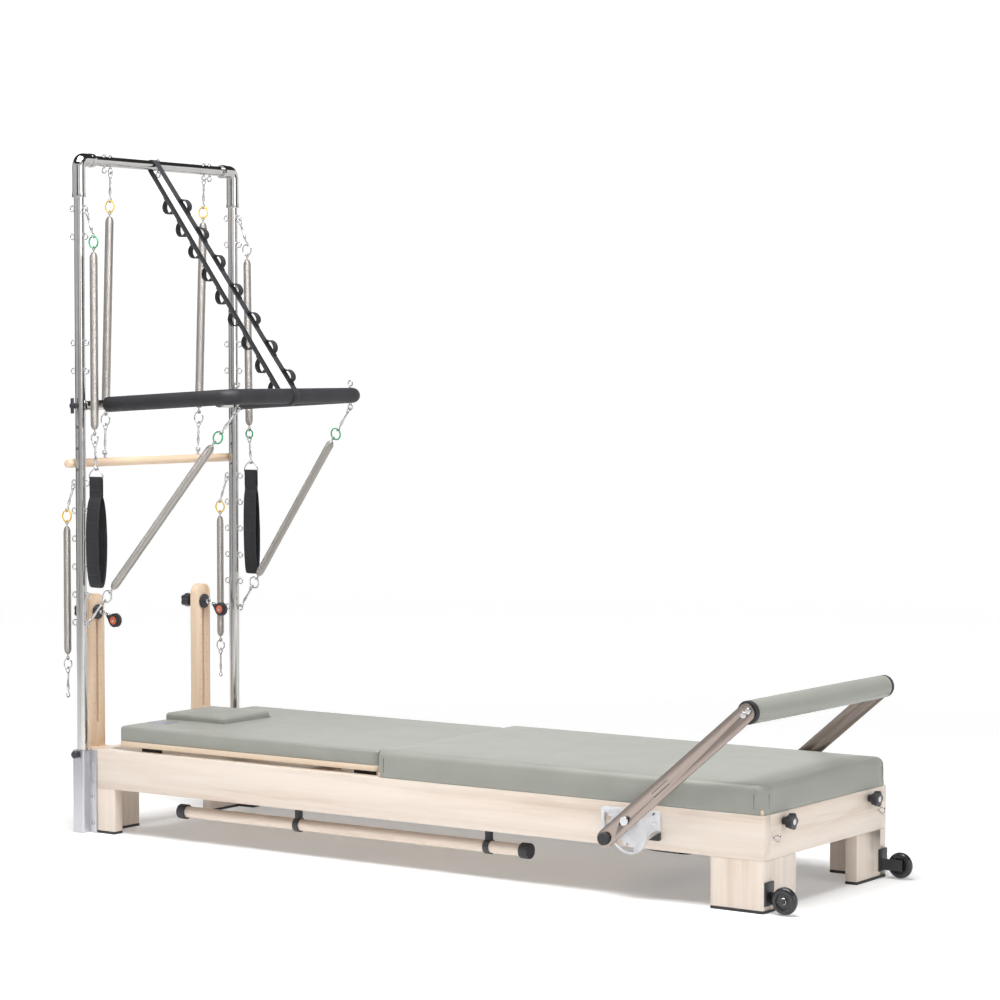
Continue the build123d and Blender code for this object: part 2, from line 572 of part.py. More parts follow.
def arm_spring(name, y, lean, bulge):
    """A spring on a front eye near the tower's top, ending in a D ring and a hand loop."""
    eye = Vector(POST_X + EYE_OUT, y, HIGH_EYES[-1])
    at = eye + DOWN * (EYE_R - EYE_WIRE - SNAP_WIRE - GAP)
    rings_out = POST_X + EYE_OUT + EYE_R + EYE_WIRE
    offset = rings_out + RING_R + RING_WIRE + 0.6 - at.X
    reach = SNAP_LENGTH - 4
    slant = Vector(offset, 0, -math.sqrt(reach**2 - offset**2)).normalized()
    hook, end = snap_hook(at, slant, Y)
    at = next_link(end, slant, SNAP_WIRE, RING_WIRE)
    pieces = [hook, loop(at, DOWN, X, RING_R, RING_WIRE)]
    at = next_link(at + DOWN * 2 * RING_R, DOWN, RING_WIRE, 1.8)
    coil, end = spring_coil(at, DOWN, Y, 543, 13)
    at = next_link(end, DOWN, 1.8, RING_WIRE)
    pieces += [coil, loop(at, DOWN, X, RING_R - 4, RING_WIRE)]
    at = next_link(at + DOWN * 2 * (RING_R - 4), DOWN, RING_WIRE, SNAP_WIRE)
    offset = rings_out + 25 + 1 - at.X
    slant = Vector(offset, 0, -math.sqrt(86**2 - offset**2)).normalized()
    lower, end = snap_hook(at, slant, Y, 90)
    at = next_link(end, slant, SNAP_WIRE, 2.3)
    dee, centre = d_ring(at)
    strap = hand_loop(centre, 334, bulge)
    about = Axis((POST_X + EYE_OUT, y, HIGH_EYES[-1]), (1, 0, 0))
    save(f"arm_spring_{name}", *[piece.rotate(about, lean) for piece in [*pieces, lower, dee]])
    save(f"hand_loop_{name}", strap.rotate(about, lean))


def leg_spring(name, y):
    """A shorter spring on the back of a post, with a free snap hook at its lower end."""
    eye = Vector(POST_X - EYE_OUT, y, LOW_EYES + EYE_STEP * 5)
    at = eye + DOWN * (EYE_R - EYE_WIRE - SNAP_WIRE - GAP)
    offset = POST_X - EYE_OUT - EYE_R - EYE_WIRE - RING_R - RING_WIRE - 0.6 - at.X
    reach = SNAP_LENGTH - 4
    slant = Vector(offset, 0, -math.sqrt(reach**2 - offset**2)).normalized()
    hook, end = snap_hook(at, slant, Y)
    at = next_link(end, slant, SNAP_WIRE, RING_WIRE)
    pieces = [hook, loop(at, DOWN, X, RING_R, RING_WIRE)]
    at = next_link(at + DOWN * 2 * RING_R, DOWN, RING_WIRE, 1.8)
    coil, end = spring_coil(at, DOWN, Y, 397, 12)
    at = next_link(end, DOWN, 1.8, RING_WIRE)
    pieces += [coil, loop(at, DOWN, X, RING_R - 2, RING_WIRE)]
    at = next_link(at + DOWN * 2 * (RING_R - 2), DOWN, RING_WIRE, SNAP_WIRE)
    lower, _ = snap_hook(at, DOWN, Y)
    save(f"leg_spring_{name}", *pieces, lower)


# ---------------------------------------------------------------- risers and pulleys


def risers():
    height = RISER_TOP - RAIL_LOW
    outline = Pos(-RISER_Y, RAIL_LOW + height / 2) * RectangleRounded(RISER_W, height, 30)
    outline += Pos(-RISER_Y, RAIL_LOW + 40) * Rectangle(RISER_W, 80)
    outline -= Pos(-RISER_Y, (330 + PULLEY_Z + 14) / 2) * SlotOverall(PULLEY_Z + 14 - 330, 10, 90)
    riser = plate_x(outline, RISER_X - RISER_T, RISER_X)
    block = box((RISER_X, TOWER_X), (-RISER_Y - 34, -RISER_Y + 34), (150, 256))
    save("risers", *both(riser, block))


def star(radius, lobe):
    """The outline of a five-lobed knob."""
    outline = Circle(radius - lobe)
    for i in range(5):
        outline += Rot(0, 0, 72 * i) * (Pos(radius - lobe, 0) * Circle(lobe))
    return outline


def pulley_slide():
    """The clamp of a height-adjustable pulley: flange in front, knob behind, bolt through the slot."""
    back = RISER_X - RISER_T
    slide = rod((RISER_X + GAP, -RISER_Y, PULLEY_Z), (RISER_X + 8, -RISER_Y, PULLEY_Z), 23)
    slide += rod((back - 20, -RISER_Y, PULLEY_Z), (RISER_X + 14, -RISER_Y, PULLEY_Z), 4.9)
    eye = ring((RISER_X + 22, -RISER_Y, PULLEY_Z), Y, 8, 2.5)
    knob = plate_x(Pos(-RISER_Y, PULLEY_Z) * star(24, 8), KNOB_END_X, back - 22)
    knob += rod((back - 22, -RISER_Y, PULLEY_Z), (back - GAP, -RISER_Y, PULLEY_Z), 11)
    return slide + eye + knob


def pulley_block():
    """A swivel pulley: shackle ring, two cheeks and a sheave on its pin."""
    eye_x = RISER_X + 22
    at = Vector(eye_x + 8 - 2.5 - 2 - GAP, -RISER_Y, PULLEY_Z)
    out = Vector(math.cos(math.radians(25)), 0, -math.sin(math.radians(25)))
    shackle = loop(at, out, Y, 8, 2)
    neck = rod(at + out * 16, at + out * 34, 5)
    middle = at + out * 56
    cheeks = []
    for side in (-1, 1):
        start = middle + Y * (side * 7.5)
        cheek = rod(start, start + Y * (side * 3), 19)
        cheeks.append(cheek + box_between(at + out * 32 + Y * (side * 9), 8))
    yoke = rod(at + out * 30 - Y * 10.5, at + out * 30 + Y * 10.5, 6)
    pin = rod(middle - Y * 10.5, middle + Y * 10.5, 4)
    body = shackle + neck + yoke + cheeks[0] + cheeks[1] + pin
    sheave = rod(middle - Y * 7.2, middle + Y * 7.2, 22)
    sheave -= rod(middle - Y * 8, middle + Y * 8, 4.05)
    sheave -= ring(middle, Y, 25.5, 6)
    return body, sheave


def box_between(centre, size):
    """A small strap that ties a cheek to its yoke."""
    return Pos(*centre) * Box(2.2 * size, 3, 2.2 * size)


def pulleys():
    risers()
    slide = pulley_slide()
    body, sheave = pulley_block()
    for name, side in (("near", lambda shape: shape), ("far", far)):
        save(f"pulley_slide_{name}", side(slide))
        save(f"pulley_block_{name}", side(body), side(sheave))


# ---------------------------------------------------------------- foot end and storage


def foot_end():
    for name, side in (("near", lambda shape: shape), ("far", far)):
        x = FOOT_X
        knob = plate_x(Pos(-KNOB_Y, KNOB_Z) * star(24, 8), x + 14, x + 34)
        knob += rod((x + GAP, -KNOB_Y, KNOB_Z), (x + 15, -KNOB_Y, KNOB_Z), 11)
        knob += rod((x - BOARD - 1.5, -KNOB_Y, KNOB_Z), (x + 5, -KNOB_Y, KNOB_Z), 5)
        save(f"mat_knob_{name}", side(knob))
        wheel = rod((CASTER_X, -CASTER_Y + 12, CASTER_Z), (CASTER_X, -CASTER_Y - 12, CASTER_Z), CASTER_R)
        wheel = fillet(wheel.edges().filter_by(GeomType.CIRCLE), 8)
        wheel -= rod((CASTER_X, -300, CASTER_Z), (CASTER_X, -380, CASTER_Z), 4.05)
        save(f"transport_wheel_{name}", side(wheel))
    plate = box((FOOT_X, FOOT_X + 5), (-CASTER_Y - 15, -CASTER_Y + 30), (20, 84))
    arm = box((FOOT_X + 5, CASTER_X + 14), (-CASTER_Y + 13, -CASTER_Y + 18), (24, 56))
    bolt = rod((CASTER_X, -CASTER_Y + 18, CASTER_Z), (CASTER_X, -CASTER_Y - 13, CASTER_Z), 4)
    bolt += rod((CASTER_X, -CASTER_Y - 12.5, CASTER_Z), (CASTER_X, -CASTER_Y - 17, CASTER_Z), 8)
    save("wheel_brackets", *both(plate + arm + bolt))
    hooks = []
    for y in (-300, 300):
        hook = rod((FOOT_X, y, 197), (FOOT_X + 6, y, 197), 3)
        hook += ring((FOOT_X + 14, y, 197), Y, 8.5, 2.2)
        hooks.append(hook)
    screws = [
        rod((TOWER_X + 13, -HALF_W - 6, z), (TOWER_X + 13, -HALF_W - 9, z), 6)
        for z in (30, 110, 160, 215)
    ]
    screws += [
        rod((PIVOT_X + 70, -HALF_W - 6, z), (PIVOT_X + 70, -HALF_W - 7.5, z), 5)
        for z in (PIVOT_Z + 18, PIVOT_Z - 6)
    ]
    save("frame_screws", *hooks, *both(*screws))


def foot_strap():
    """A wide webbing strap that hangs in a shallow bow under the frame, near the foot end."""
    inner = HALF_W - BOARD
    path = Spline(
        (760, -inner + 3, 170), (760, -190, 116), (760, 0, 74), (760, 190, 116), (760, inner - 3, 170)
    )
    outer = offset_band(path, 3)
    save("foot_strap", outer)


def offset_band(path, thick):
    """Webbing of a given thickness along a sagging line, 80 wide along X."""
    section = Plane(origin=path @ 0, z_dir=path % 0, x_dir=(1, 0, 0)) * Rectangle(80, thick)
    return sweep(section, path=path)


def rubber_stops():
    """Buffers inside the head board that stop the carriage, and a wedge under each notched plate."""
    stop = rod((TOWER_X + BOARD, -268, 240), (CARRIAGE[0] + 4, -268, 240), 10)
    wedge = Polygon((PIVOT_X + 55, 168), (PIVOT_X + 88, 168), (PIVOT_X + 88, 190), align=None)
    wedge = plate_y(wedge, -HALF_W - 14, -HALF_W)
    save("rubber_stops", *both(wedge, stop))


def storage():
    cap = 30
    wood = rod((POLE[0] + 4, POLE_Y, POLE_Z), (POLE[1] - 4, POLE_Y, POLE_Z), POLE_R)
    caps = []
    for end, inward in ((POLE[0], 1), (POLE[1], -1)):
        shell = rod((end, POLE_Y, POLE_Z), (end + inward * cap, POLE_Y, POLE_Z), POLE_R + 5)
        shell -= rod((end + inward * 4, POLE_Y, POLE_Z), (end + inward * 60, POLE_Y, POLE_Z), POLE_R)
        caps.append(shell)
    save("storage_pole", wood)
    save("storage_pole_caps", *caps)
    clips = []
    for x in CLIPS_X:
        hoop = rod((x - 10, POLE_Y, POLE_Z), (x + 10, POLE_Y, POLE_Z), POLE_R + 4)
        hoop -= rod((x - 20, POLE_Y, POLE_Z), (x + 20, POLE_Y, POLE_Z), POLE_R + 0.4)
        stem = box((x - 10, x + 10), (POLE_Y - 7, POLE_Y + 7), (POLE_Z + POLE_R + 2, RAIL_LOW))
        stem -= rod((x - 20, POLE_Y, POLE_Z), (x + 20, POLE_Y, POLE_Z), POLE_R + 0.4)
        clips.append(hoop + stem)
    save("pole_clips", *clips)


os.makedirs("parts", exist_ok=True)
rails()
legs()
inside_frame()
carriage()
carriage_gear()
headrest()
mat()
footbar()
tower()
tower_brackets()
push_bar()
push_springs()
ladder_strap()
roll_down()
arm_spring("near", -POST_Y, 0, 22)
arm_spring("far", POST_Y, 0.8, 13)
leg_spring("near", -POST_Y)
leg_spring("far", POST_Y)
pulleys()
foot_end()
foot_strap()
rubber_stops()
storage()
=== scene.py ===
"""Pilates reformer with a spring tower: the looks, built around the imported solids.

Metres. +X is the foot end, -Y the near side, and the floor is at Z 0. Sections follow the way it
is put together.
"""

import math

import bmesh
import bpy
from mathutils import Matrix, Vector, noise


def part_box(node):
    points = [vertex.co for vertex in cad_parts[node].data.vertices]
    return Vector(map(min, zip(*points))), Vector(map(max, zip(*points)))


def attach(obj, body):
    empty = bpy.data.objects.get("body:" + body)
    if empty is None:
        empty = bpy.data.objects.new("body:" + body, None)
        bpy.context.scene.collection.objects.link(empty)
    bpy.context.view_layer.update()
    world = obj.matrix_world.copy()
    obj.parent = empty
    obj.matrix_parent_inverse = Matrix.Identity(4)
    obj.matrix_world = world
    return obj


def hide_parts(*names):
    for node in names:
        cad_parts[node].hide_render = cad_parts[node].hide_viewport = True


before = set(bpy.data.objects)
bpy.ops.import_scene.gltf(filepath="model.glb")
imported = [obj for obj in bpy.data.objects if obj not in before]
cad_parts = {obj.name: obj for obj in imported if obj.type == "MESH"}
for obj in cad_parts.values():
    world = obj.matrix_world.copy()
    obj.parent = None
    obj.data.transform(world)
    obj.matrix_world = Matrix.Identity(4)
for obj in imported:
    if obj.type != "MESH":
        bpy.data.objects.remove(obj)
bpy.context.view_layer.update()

# ---- Wooden frame -----------------------------------------------------------------------------
# Two side rails, two end boards and four L-shaped legs of solid maple, clear lacquered, with the
# outer edges rounded over. Plywood braces join the rails underneath.


def material(name):
    """An empty node material and a way to add nodes to it."""
    made = bpy.data.materials.new(name)
    made.use_nodes = True
    nodes, links = made.node_tree.nodes, made.node_tree.links
    shader = nodes["Principled BSDF"]

    def add(kind, **values):
        node = nodes.new("ShaderNode" + kind)
        for key, value in values.items():
            if hasattr(node, key):
                setattr(node, key, value)
            else:
                node.inputs[key.replace("_", " ")].default_value = value
        return node

    return made, shader, add, links.new


def graded(add, link, source, stops):
    """A colour ramp from a list of (place, colour)."""
    ramp = add("ValToRGB")
    band = ramp.color_ramp
    while len(band.elements) < len(stops):
        band.elements.new(0.5)
    for element, (place, colour) in zip(band.elements, stops):
        element.position = place
        element.color = (*colour, 1)
    link(source, ramp.inputs["Fac"])
    return ramp.outputs["Color"]


def bumped(add, link, shader, height, strength, distance):
    bump = add("Bump", Strength=strength, Distance=distance)
    link(height, bump.inputs["Height"])
    link(bump.outputs["Normal"], shader.inputs["Normal"])


def placed(add, link, scale, turn=(0, 0, 0)):
    """The object's own coordinates, turned and then scaled for a pattern."""
    where = add("TexCoord")
    mapping = add("Mapping", vector_type="TEXTURE")
    mapping.inputs["Scale"].default_value = [1 / s for s in scale]
    mapping.inputs["Rotation"].default_value = turn
    link(where.outputs["Object"], mapping.inputs["Vector"])
    return mapping.outputs["Vector"]


def timber(name, light, mid, dark, grain, rough=0.36):
    """Straight-grained wood with soft flame and a satin lacquer. grain is 0, 1 or 2 for X, Y or Z."""
    made, shader, add, link = material(name)
    along = [1.0, 1.0, 1.0]
    along[grain] = 0.045
    vector = placed(add, link, along)
    flame = add("TexNoise", Scale=17.0, Detail=5.0, Roughness=0.55, Distortion=0.8)
    link(vector, flame.inputs["Vector"])
    fine = add("TexNoise", Scale=170.0, Detail=4.0, Roughness=0.6)
    link(vector, fine.inputs["Vector"])
    both = add("Math", operation="MULTIPLY_ADD")
    both.inputs[1].default_value = 0.32
    link(fine.outputs["Fac"], both.inputs[0])
    link(flame.outputs["Fac"], both.inputs[2])
    colour = graded(add, link, both.outputs[0], [(0.46, dark), (0.62, mid), (0.8, light)])
    link(colour, shader.inputs["Base Color"])
    streak = graded(
        add, link, fine.outputs["Fac"], [(0.3, (rough + 0.08,) * 3), (0.7, (rough - 0.04,) * 3)],
    )
    link(streak, shader.inputs["Roughness"])
    shader.inputs["Coat Weight"].default_value = 0.25
    shader.inputs["Coat Roughness"].default_value = 0.2
    bumped(add, link, shader, fine.outputs["Fac"], 0.12, 0.0004)
    return made


MAPLE = ((0.71, 0.625, 0.55), (0.665, 0.57, 0.49), (0.585, 0.475, 0.385))
maple_x = timber("maple_along", *MAPLE, 0)
maple_y = timber("maple_across", *MAPLE, 1)
maple_z = timber("maple_upright", *MAPLE, 2)


def plywood(name):
    """Thin layers that show as light and dark lines on a sealed edge."""
    made, shader, add, link = material(name)
    vector = placed(add, link, (1, 1, 1))
    layers = add(
        "TexWave", wave_type="BANDS", bands_direction="Z", Scale=105.0, Distortion=0.25, Detail=1.0,
    )
    link(vector, layers.inputs["Vector"])
    speck = add("TexNoise", Scale=60.0, Detail=4.0)
    link(vector, speck.inputs["Vector"])
    both = add("Math", operation="MULTIPLY_ADD")
    both.inputs[1].default_value = 0.5
    link(speck.outputs["Fac"], both.inputs[0])
    link(layers.outputs["Fac"], both.inputs[2])
    stops = [(0.3, (0.56, 0.42, 0.30)), (0.7, (0.70, 0.56, 0.42)), (1.0, (0.77, 0.65, 0.51))]
    link(graded(add, link, both.outputs[0], stops), shader.inputs["Base Color"])
    shader.inputs["Roughness"].default_value = 0.45
    bumped(add, link, shader, layers.outputs["Fac"], 0.1, 0.0003)
    return made


ply = plywood("birch_plywood")


def merged(node):
    """A copy of a CAD solid's mesh with its triangles joined up."""
    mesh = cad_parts[node].data.copy()
    mesh.materials.clear()
    work = bmesh.new()
    work.from_mesh(mesh)
    bmesh.ops.remove_doubles(work, verts=work.verts, dist=2e-5)
    bmesh.ops.dissolve_degenerate(work, edges=work.edges, dist=1e-6)
    bmesh.ops.dissolve_limit(work, angle_limit=math.radians(0.6), verts=work.verts, edges=work.edges)
    work.to_mesh(mesh)
    work.free()
    return mesh


def evaluated(made):
    """The object with its modifiers applied and removed."""
    view = bpy.context.evaluated_depsgraph_get()
    mesh = bpy.data.meshes.new_from_object(made.evaluated_get(view))
    made.modifiers.clear()
    made.data = mesh
    return made


def shown(made, body, nodes, smooth=38):
    """Shade an object, put it on its body and let it stand for its CAD nodes."""
    made.data.polygons.foreach_set("use_smooth", [True] * len(made.data.polygons))
    made.data.set_sharp_from_angle(angle=math.radians(smooth))
    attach(made, body)
    if nodes:
        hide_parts(*nodes)
    return made


def eased(name, node, body, finish, width=0.0012):
    """A rigid piece cut from its CAD solid with the sharp edges broken."""
    mesh = merged(node)
    mesh.materials.append(finish)
    made = bpy.data.objects.new(name, mesh)
    bpy.context.scene.collection.objects.link(made)
    if width:
        bevel = made.modifiers.new("edges", "BEVEL")
        bevel.width = width
        bevel.segments = 2
        bevel.limit_method = "ANGLE"
        bevel.angle_limit = math.radians(40)
        bevel.harden_normals = False
        evaluated(made)
    return shown(made, body, [node])


eased("maple_rails", "side_rails", "frame", maple_x, 0.0015)
eased("maple_end_boards", "end_boards", "frame", maple_y, 0.0015)
eased("maple_legs", "legs", "frame", maple_z, 0.002)
eased("plywood_braces", "cross_braces", "frame", ply)

# ---- Feet and buffers -------------------------------------------------------------------------
# Black rubber pads glued under the legs, a rubber wedge under each notched plate and two buffers
# that stop the carriage at the head end.


def moulded(name, colour, rough, grain=900.0, depth=0.00012, mottle=0.25):
    """Rubber or moulded plastic: a fine surface texture with slightly uneven gloss."""
    made, shader, add, link = material(name)
    vector = placed(add, link, (1, 1, 1))
    skin = add("TexNoise", Scale=grain, Detail=3.0)
    link(vector, skin.inputs["Vector"])
    cloud = add("TexNoise", Scale=22.0, Detail=3.0)
    link(vector, cloud.inputs["Vector"])
    pale = tuple(min(1, c * (1 + mottle) + 0.004) for c in colour)
    link(
        graded(add, link, cloud.outputs["Fac"], [(0.35, colour), (0.7, pale)]), shader.inputs["Base Color"],
    )
    sheen = [(0.3, (rough - 0.05,) * 3), (0.7, (rough + 0.07,) * 3)]
    link(graded(add, link, cloud.outputs["Fac"], sheen), shader.inputs["Roughness"])
    bumped(add, link, shader, skin.outputs["Fac"], 0.3, depth)
    return made


rubber = moulded("matt_rubber", (0.022, 0.022, 0.026), 0.62)
black_plastic = moulded("black_plastic", (0.022, 0.021, 0.027), 0.36)
eased("rubber_foot_pads", "foot_pads", "frame", rubber, 0.001)
eased("rubber_buffers", "rubber_stops", "frame", rubber, 0.001)

# ---- Carriage tracks and spring bar -----------------------------------------------------------
# Satin anodised angle tracks screwed inside the rails, and a black steel bar near the foot end
# whose hooks hold five stored springs.


def metal(name, colour, rough, brushed=None, strength=0.05, uneven=0.06, turn=(0, 0, 0)):
    """Bare or plated metal. brushed names the axis the polishing lines run along."""
    made, shader, add, link = material(name)
    scale = [1.0, 1.0, 1.0]
    if brushed is not None:
        scale[brushed] = 0.02
    vector = placed(add, link, scale, turn)
    lines = add("TexNoise", Scale=700.0 if brushed is not None else 35.0, Detail=3.0)
    link(vector, lines.inputs["Vector"])
    dull = [(0.3, (rough,) * 3), (0.75, (rough + uneven,) * 3)]
    link(graded(add, link, lines.outputs["Fac"], dull), shader.inputs["Roughness"])
    dark = tuple(c * 0.93 for c in colour)
    link(graded(add, link, lines.outputs["Fac"], [(0.3, dark), (0.7, colour)]), shader.inputs["Base Color"])
    shader.inputs["Metallic"].default_value = 1.0
    bumped(add, link, shader, lines.outputs["Fac"], strength, 0.0002)
    return made


aluminium = metal("anodised_aluminium", (0.62, 0.62, 0.65), 0.36, brushed=0)
bracket_grey = metal("bead_blasted_aluminium", (0.56, 0.56, 0.59), 0.42, brushed=2)
chrome = metal("polished_chrome", (0.55, 0.54, 0.53), 0.07, strength=0.0, uneven=0.05)
plated = metal("zinc_plate", (0.60, 0.60, 0.61), 0.2)
coil_steel = metal("nickel_coil", (0.50, 0.47, 0.445), 0.36)
black_coat = moulded("black_powder_coat", (0.02, 0.02, 0.022), 0.42)

eased("track_angles", "carriage_tracks", "frame", aluminium, 0.0008)
eased("stored_spring_bar", "spring_bar", "frame", black_coat, 0.0008)


class Piece:
    """Gathers the parts of one piece, each with its own finish, and makes one mesh of them."""

    def __init__(self, name, *finishes):
        self.mesh = bmesh.new()
        self.along = self.mesh.loops.layers.uv.new("Along")
        self.name = name
        self.finishes = list(finishes)

    def skin(self, rings, finish, closed=False, capped=True, lengths=None):
        """Join rings of points, each with the same number, into a tube."""
        rows = [[self.mesh.verts.new(point) for point in ring] for ring in rings]
        count = len(rows[0])
        lengths = lengths or list(range(len(rows) + 1))
        around = [0.0]
        for i in range(count):
            around.append(around[-1] + (rows[0][i].co - rows[0][(i + 1) % count].co).length)
        slot = self.finishes.index(finish)
        spans = len(rows) if closed else len(rows) - 1
        for i in range(spans):
            here, there = rows[i], rows[(i + 1) % len(rows)]
            for k in range(count):
                face = self.mesh.faces.new(
                    (here[k], here[(k + 1) % count], there[(k + 1) % count], there[k])
                )
                face.material_index = slot
                marks = ((i, k), (i, k + 1), (i + 1, k + 1), (i + 1, k))
                for corner, (a, b) in zip(face.loops, marks):
                    corner[self.along].uv = (lengths[a], around[b])
        if capped and not closed:
            for row in (rows[0][::-1], rows[-1]):
                self.mesh.faces.new(row).material_index = slot
        return rows

    def sweep(self, path, section, finish, side=None, closed=False, capped=True):
        """Carry a section along a path. side holds the section's first axis still, as for flat webbing."""
        path = [Vector(p) for p in path]
        rings, lengths, last, run = [], [], None, 0.0
        for i, point in enumerate(path):
            before = path[i - 1] if i or closed else point
            after = path[(i + 1) % len(path)] if i < len(path) - 1 or closed else point
            tangent = (after - before).normalized()
            if side:
                first = (Vector(side) - tangent * tangent.dot(Vector(side))).normalized()
            elif last is None:
                first = tangent.orthogonal().normalized()
            else:
                first = (last - tangent * last.dot(tangent)).normalized()
            last = first
            second = tangent.cross(first)
            grow = section(i / max(1, len(path) - 1)) if callable(section) else section
            rings.append([point + first * u + second * v for u, v in grow])
            run += (point - path[i - 1]).length if i else 0.0
            lengths.append(run)
        lengths.append(run + (path[0] - path[-1]).length)
        return self.skin(rings, finish, closed, capped, lengths)

    def wire(self, path, radius, finish, closed=False, sides=12):
        """Round wire along a path."""
        return self.sweep(path, round_section(radius, sides), finish, closed=closed)

    def turned(self, centre, axis, profile, finish, steps=32):
        """A shape turned on a lathe: profile is a list of (distance along the axis, radius)."""
        centre, axis = Vector(centre), Vector(axis).normalized()
        first = axis.orthogonal().normalized()
        second = axis.cross(first)
        rings = []
        for offset, radius in profile:
            turn = [2 * math.pi * k / steps for k in range(steps)]
            radius = max(radius, 2e-5)
            at = centre + axis * offset
            rings.append([at + (first * math.cos(a) + second * math.sin(a)) * radius for a in turn])
        return self.skin(rings, finish)

    def cast(self):
        """The gathered mesh as a plain object, not yet on any body."""
        bmesh.ops.recalc_face_normals(self.mesh, faces=self.mesh.faces)
        mesh = bpy.data.meshes.new(self.name)
        self.mesh.to_mesh(mesh)
        self.mesh.free()
        for finish in self.finishes:
            mesh.materials.append(finish)
        made = bpy.data.objects.new(self.name, mesh)
        bpy.context.scene.collection.objects.link(made)
        return made

    def done(self, body, nodes=(), slot=None, smooth=38):
        return shown(self.cast(), body, nodes, smooth)


def round_section(radius, sides=12):
    return [
        (radius * math.cos(2 * math.pi * k / sides), radius * math.sin(2 * math.pi * k / sides))
        for k in range(sides)
    ]


def ring_path(centre, first, second, radius, start=0.0, stop=360.0, steps=40):
    """Points round a circle, from one angle to another, closed when it goes all the way."""
    whole = stop - start >= 360
    count = steps if whole else steps + 1
    turns = [math.radians(start + (stop - start) * k / steps) for k in range(count)]
    return [centre + (first * math.cos(a) + second * math.sin(a)) * radius for a in turns]


def tree(name, **inputs):
    """An empty geometry-node group with named inputs and one geometry output."""
    group = bpy.data.node_groups.new(name, "GeometryNodeTree")
    group.interface.new_socket("Geometry", in_out="INPUT", socket_type="NodeSocketGeometry")
    for label, kind in inputs.items():
        group.interface.new_socket(label, in_out="INPUT", socket_type="NodeSocket" + kind)
    group.interface.new_socket("Geometry", in_out="OUTPUT", socket_type="NodeSocketGeometry")
    start, stop = group.nodes.new("NodeGroupInput"), group.nodes.new("NodeGroupOutput")

    def add(kind, **values):
        node = group.nodes.new("GeometryNode" + kind)
        for key, value in values.items():
            key = key.replace("_", " ")
            if hasattr(value, "is_output"):
                group.links.new(value, node.inputs[key])
            else:
                node.inputs[key].default_value = value
        return node

    def finish(geometry):
        real = add("RealizeInstances", Geometry=geometry)
        paint = add("SetMaterial", Geometry=real.outputs[0], Material=start.outputs["Finish"])
        group.links.new(paint.outputs[0], stop.inputs["Geometry"])

    return group, start.outputs, add, finish


def grown(name, group, points=(), **values):
    """Run a geometry-node group on some points and keep the result as a plain object."""
    mesh = bpy.data.meshes.new(name)
    mesh.from_pydata([tuple(p) for p in points], [], [])
    made = bpy.data.objects.new(name, mesh)
    bpy.context.scene.collection.objects.link(made)
    modifier = made.modifiers.new("grown", "NODES")
    modifier.node_group = group
    sockets = {s.name: s.identifier for s in group.interface.items_tree if s.in_out == "INPUT"}
    for label, value in values.items():
        modifier[sockets[label]] = value
    return evaluated(made)


coil_tree, given, add, finish = tree(
    "closed_coil", Turns="Float", Length="Float", Radius="Float", Wire="Float", Start="Vector", Turn="Vector", Finish="Material"
)


def maths(group, operation, *values):
    """A maths or vector node fed by sockets and numbers."""
    node = group.nodes.new("ShaderNodeMath")
    node.operation = operation
    for socket, value in zip(node.inputs, values):
        if hasattr(value, "is_output"):
            group.links.new(value, socket)
        else:
            socket.default_value = value
    return node.outputs[0]


def vector_of(group, x, y, z):
    node = group.nodes.new("ShaderNodeCombineXYZ")
    for socket, value in zip(node.inputs, (x, y, z)):
        if hasattr(value, "is_output"):
            group.links.new(value, socket)
        else:
            socket.default_value = value
    return node.outputs[0]


helix = add(
    "CurveSpiral", Resolution=18, Rotations=given["Turns"], Start_Radius=given["Radius"],
    End_Radius=given["Radius"], Height=given["Length"],
)
apart = coil_tree.nodes.new("ShaderNodeSeparateXYZ")
coil_tree.links.new(add("InputPosition").outputs[0], apart.inputs[0])
x, y, z = apart.outputs
near_end = maths(coil_tree, "MINIMUM", z, maths(coil_tree, "SUBTRACT", given["Length"], z))
share = maths(coil_tree, "MINIMUM", maths(coil_tree, "DIVIDE", near_end, 0.016), 1.0)
draw_in = maths(
    coil_tree, "MULTIPLY_ADD", maths(coil_tree, "SINE", maths(coil_tree, "MULTIPLY", share, math.pi / 2)),
    0.45, 0.55,
)
spot = vector_of(
    coil_tree, maths(coil_tree, "MULTIPLY", x, draw_in), maths(coil_tree, "MULTIPLY", y, draw_in), z,
)
tapered = add("SetPosition", Geometry=helix.outputs[0], Position=spot)
gauge = add("CurvePrimitiveCircle", Resolution=6, Radius=given["Wire"])
tube = add("CurveToMesh", Curve=tapered.outputs[0], Profile_Curve=gauge.outputs[0], Fill_Caps=True)
finish(
    add(
        "Transform", Geometry=tube.outputs[0], Translation=given["Start"], Rotation=given["Turn"],
    ).outputs[0]
)


def coil(name, start, finish_point, outer, body, node=None, pitch=0.0026):
    """A closed coil between two points."""
    start, finish_point = Vector(start), Vector(finish_point)
    along = finish_point - start
    turn = along.to_track_quat("Z", "Y").to_euler()
    wire = pitch * 0.48
    made = grown(
        name, coil_tree, Turns=along.length / pitch, Length=along.length, Radius=outer - wire, Wire=wire,
        Start=tuple(start), Turn=tuple(turn), Finish=coil_steel,
    )
    return shown(made, body, [node] if node else [], 60)


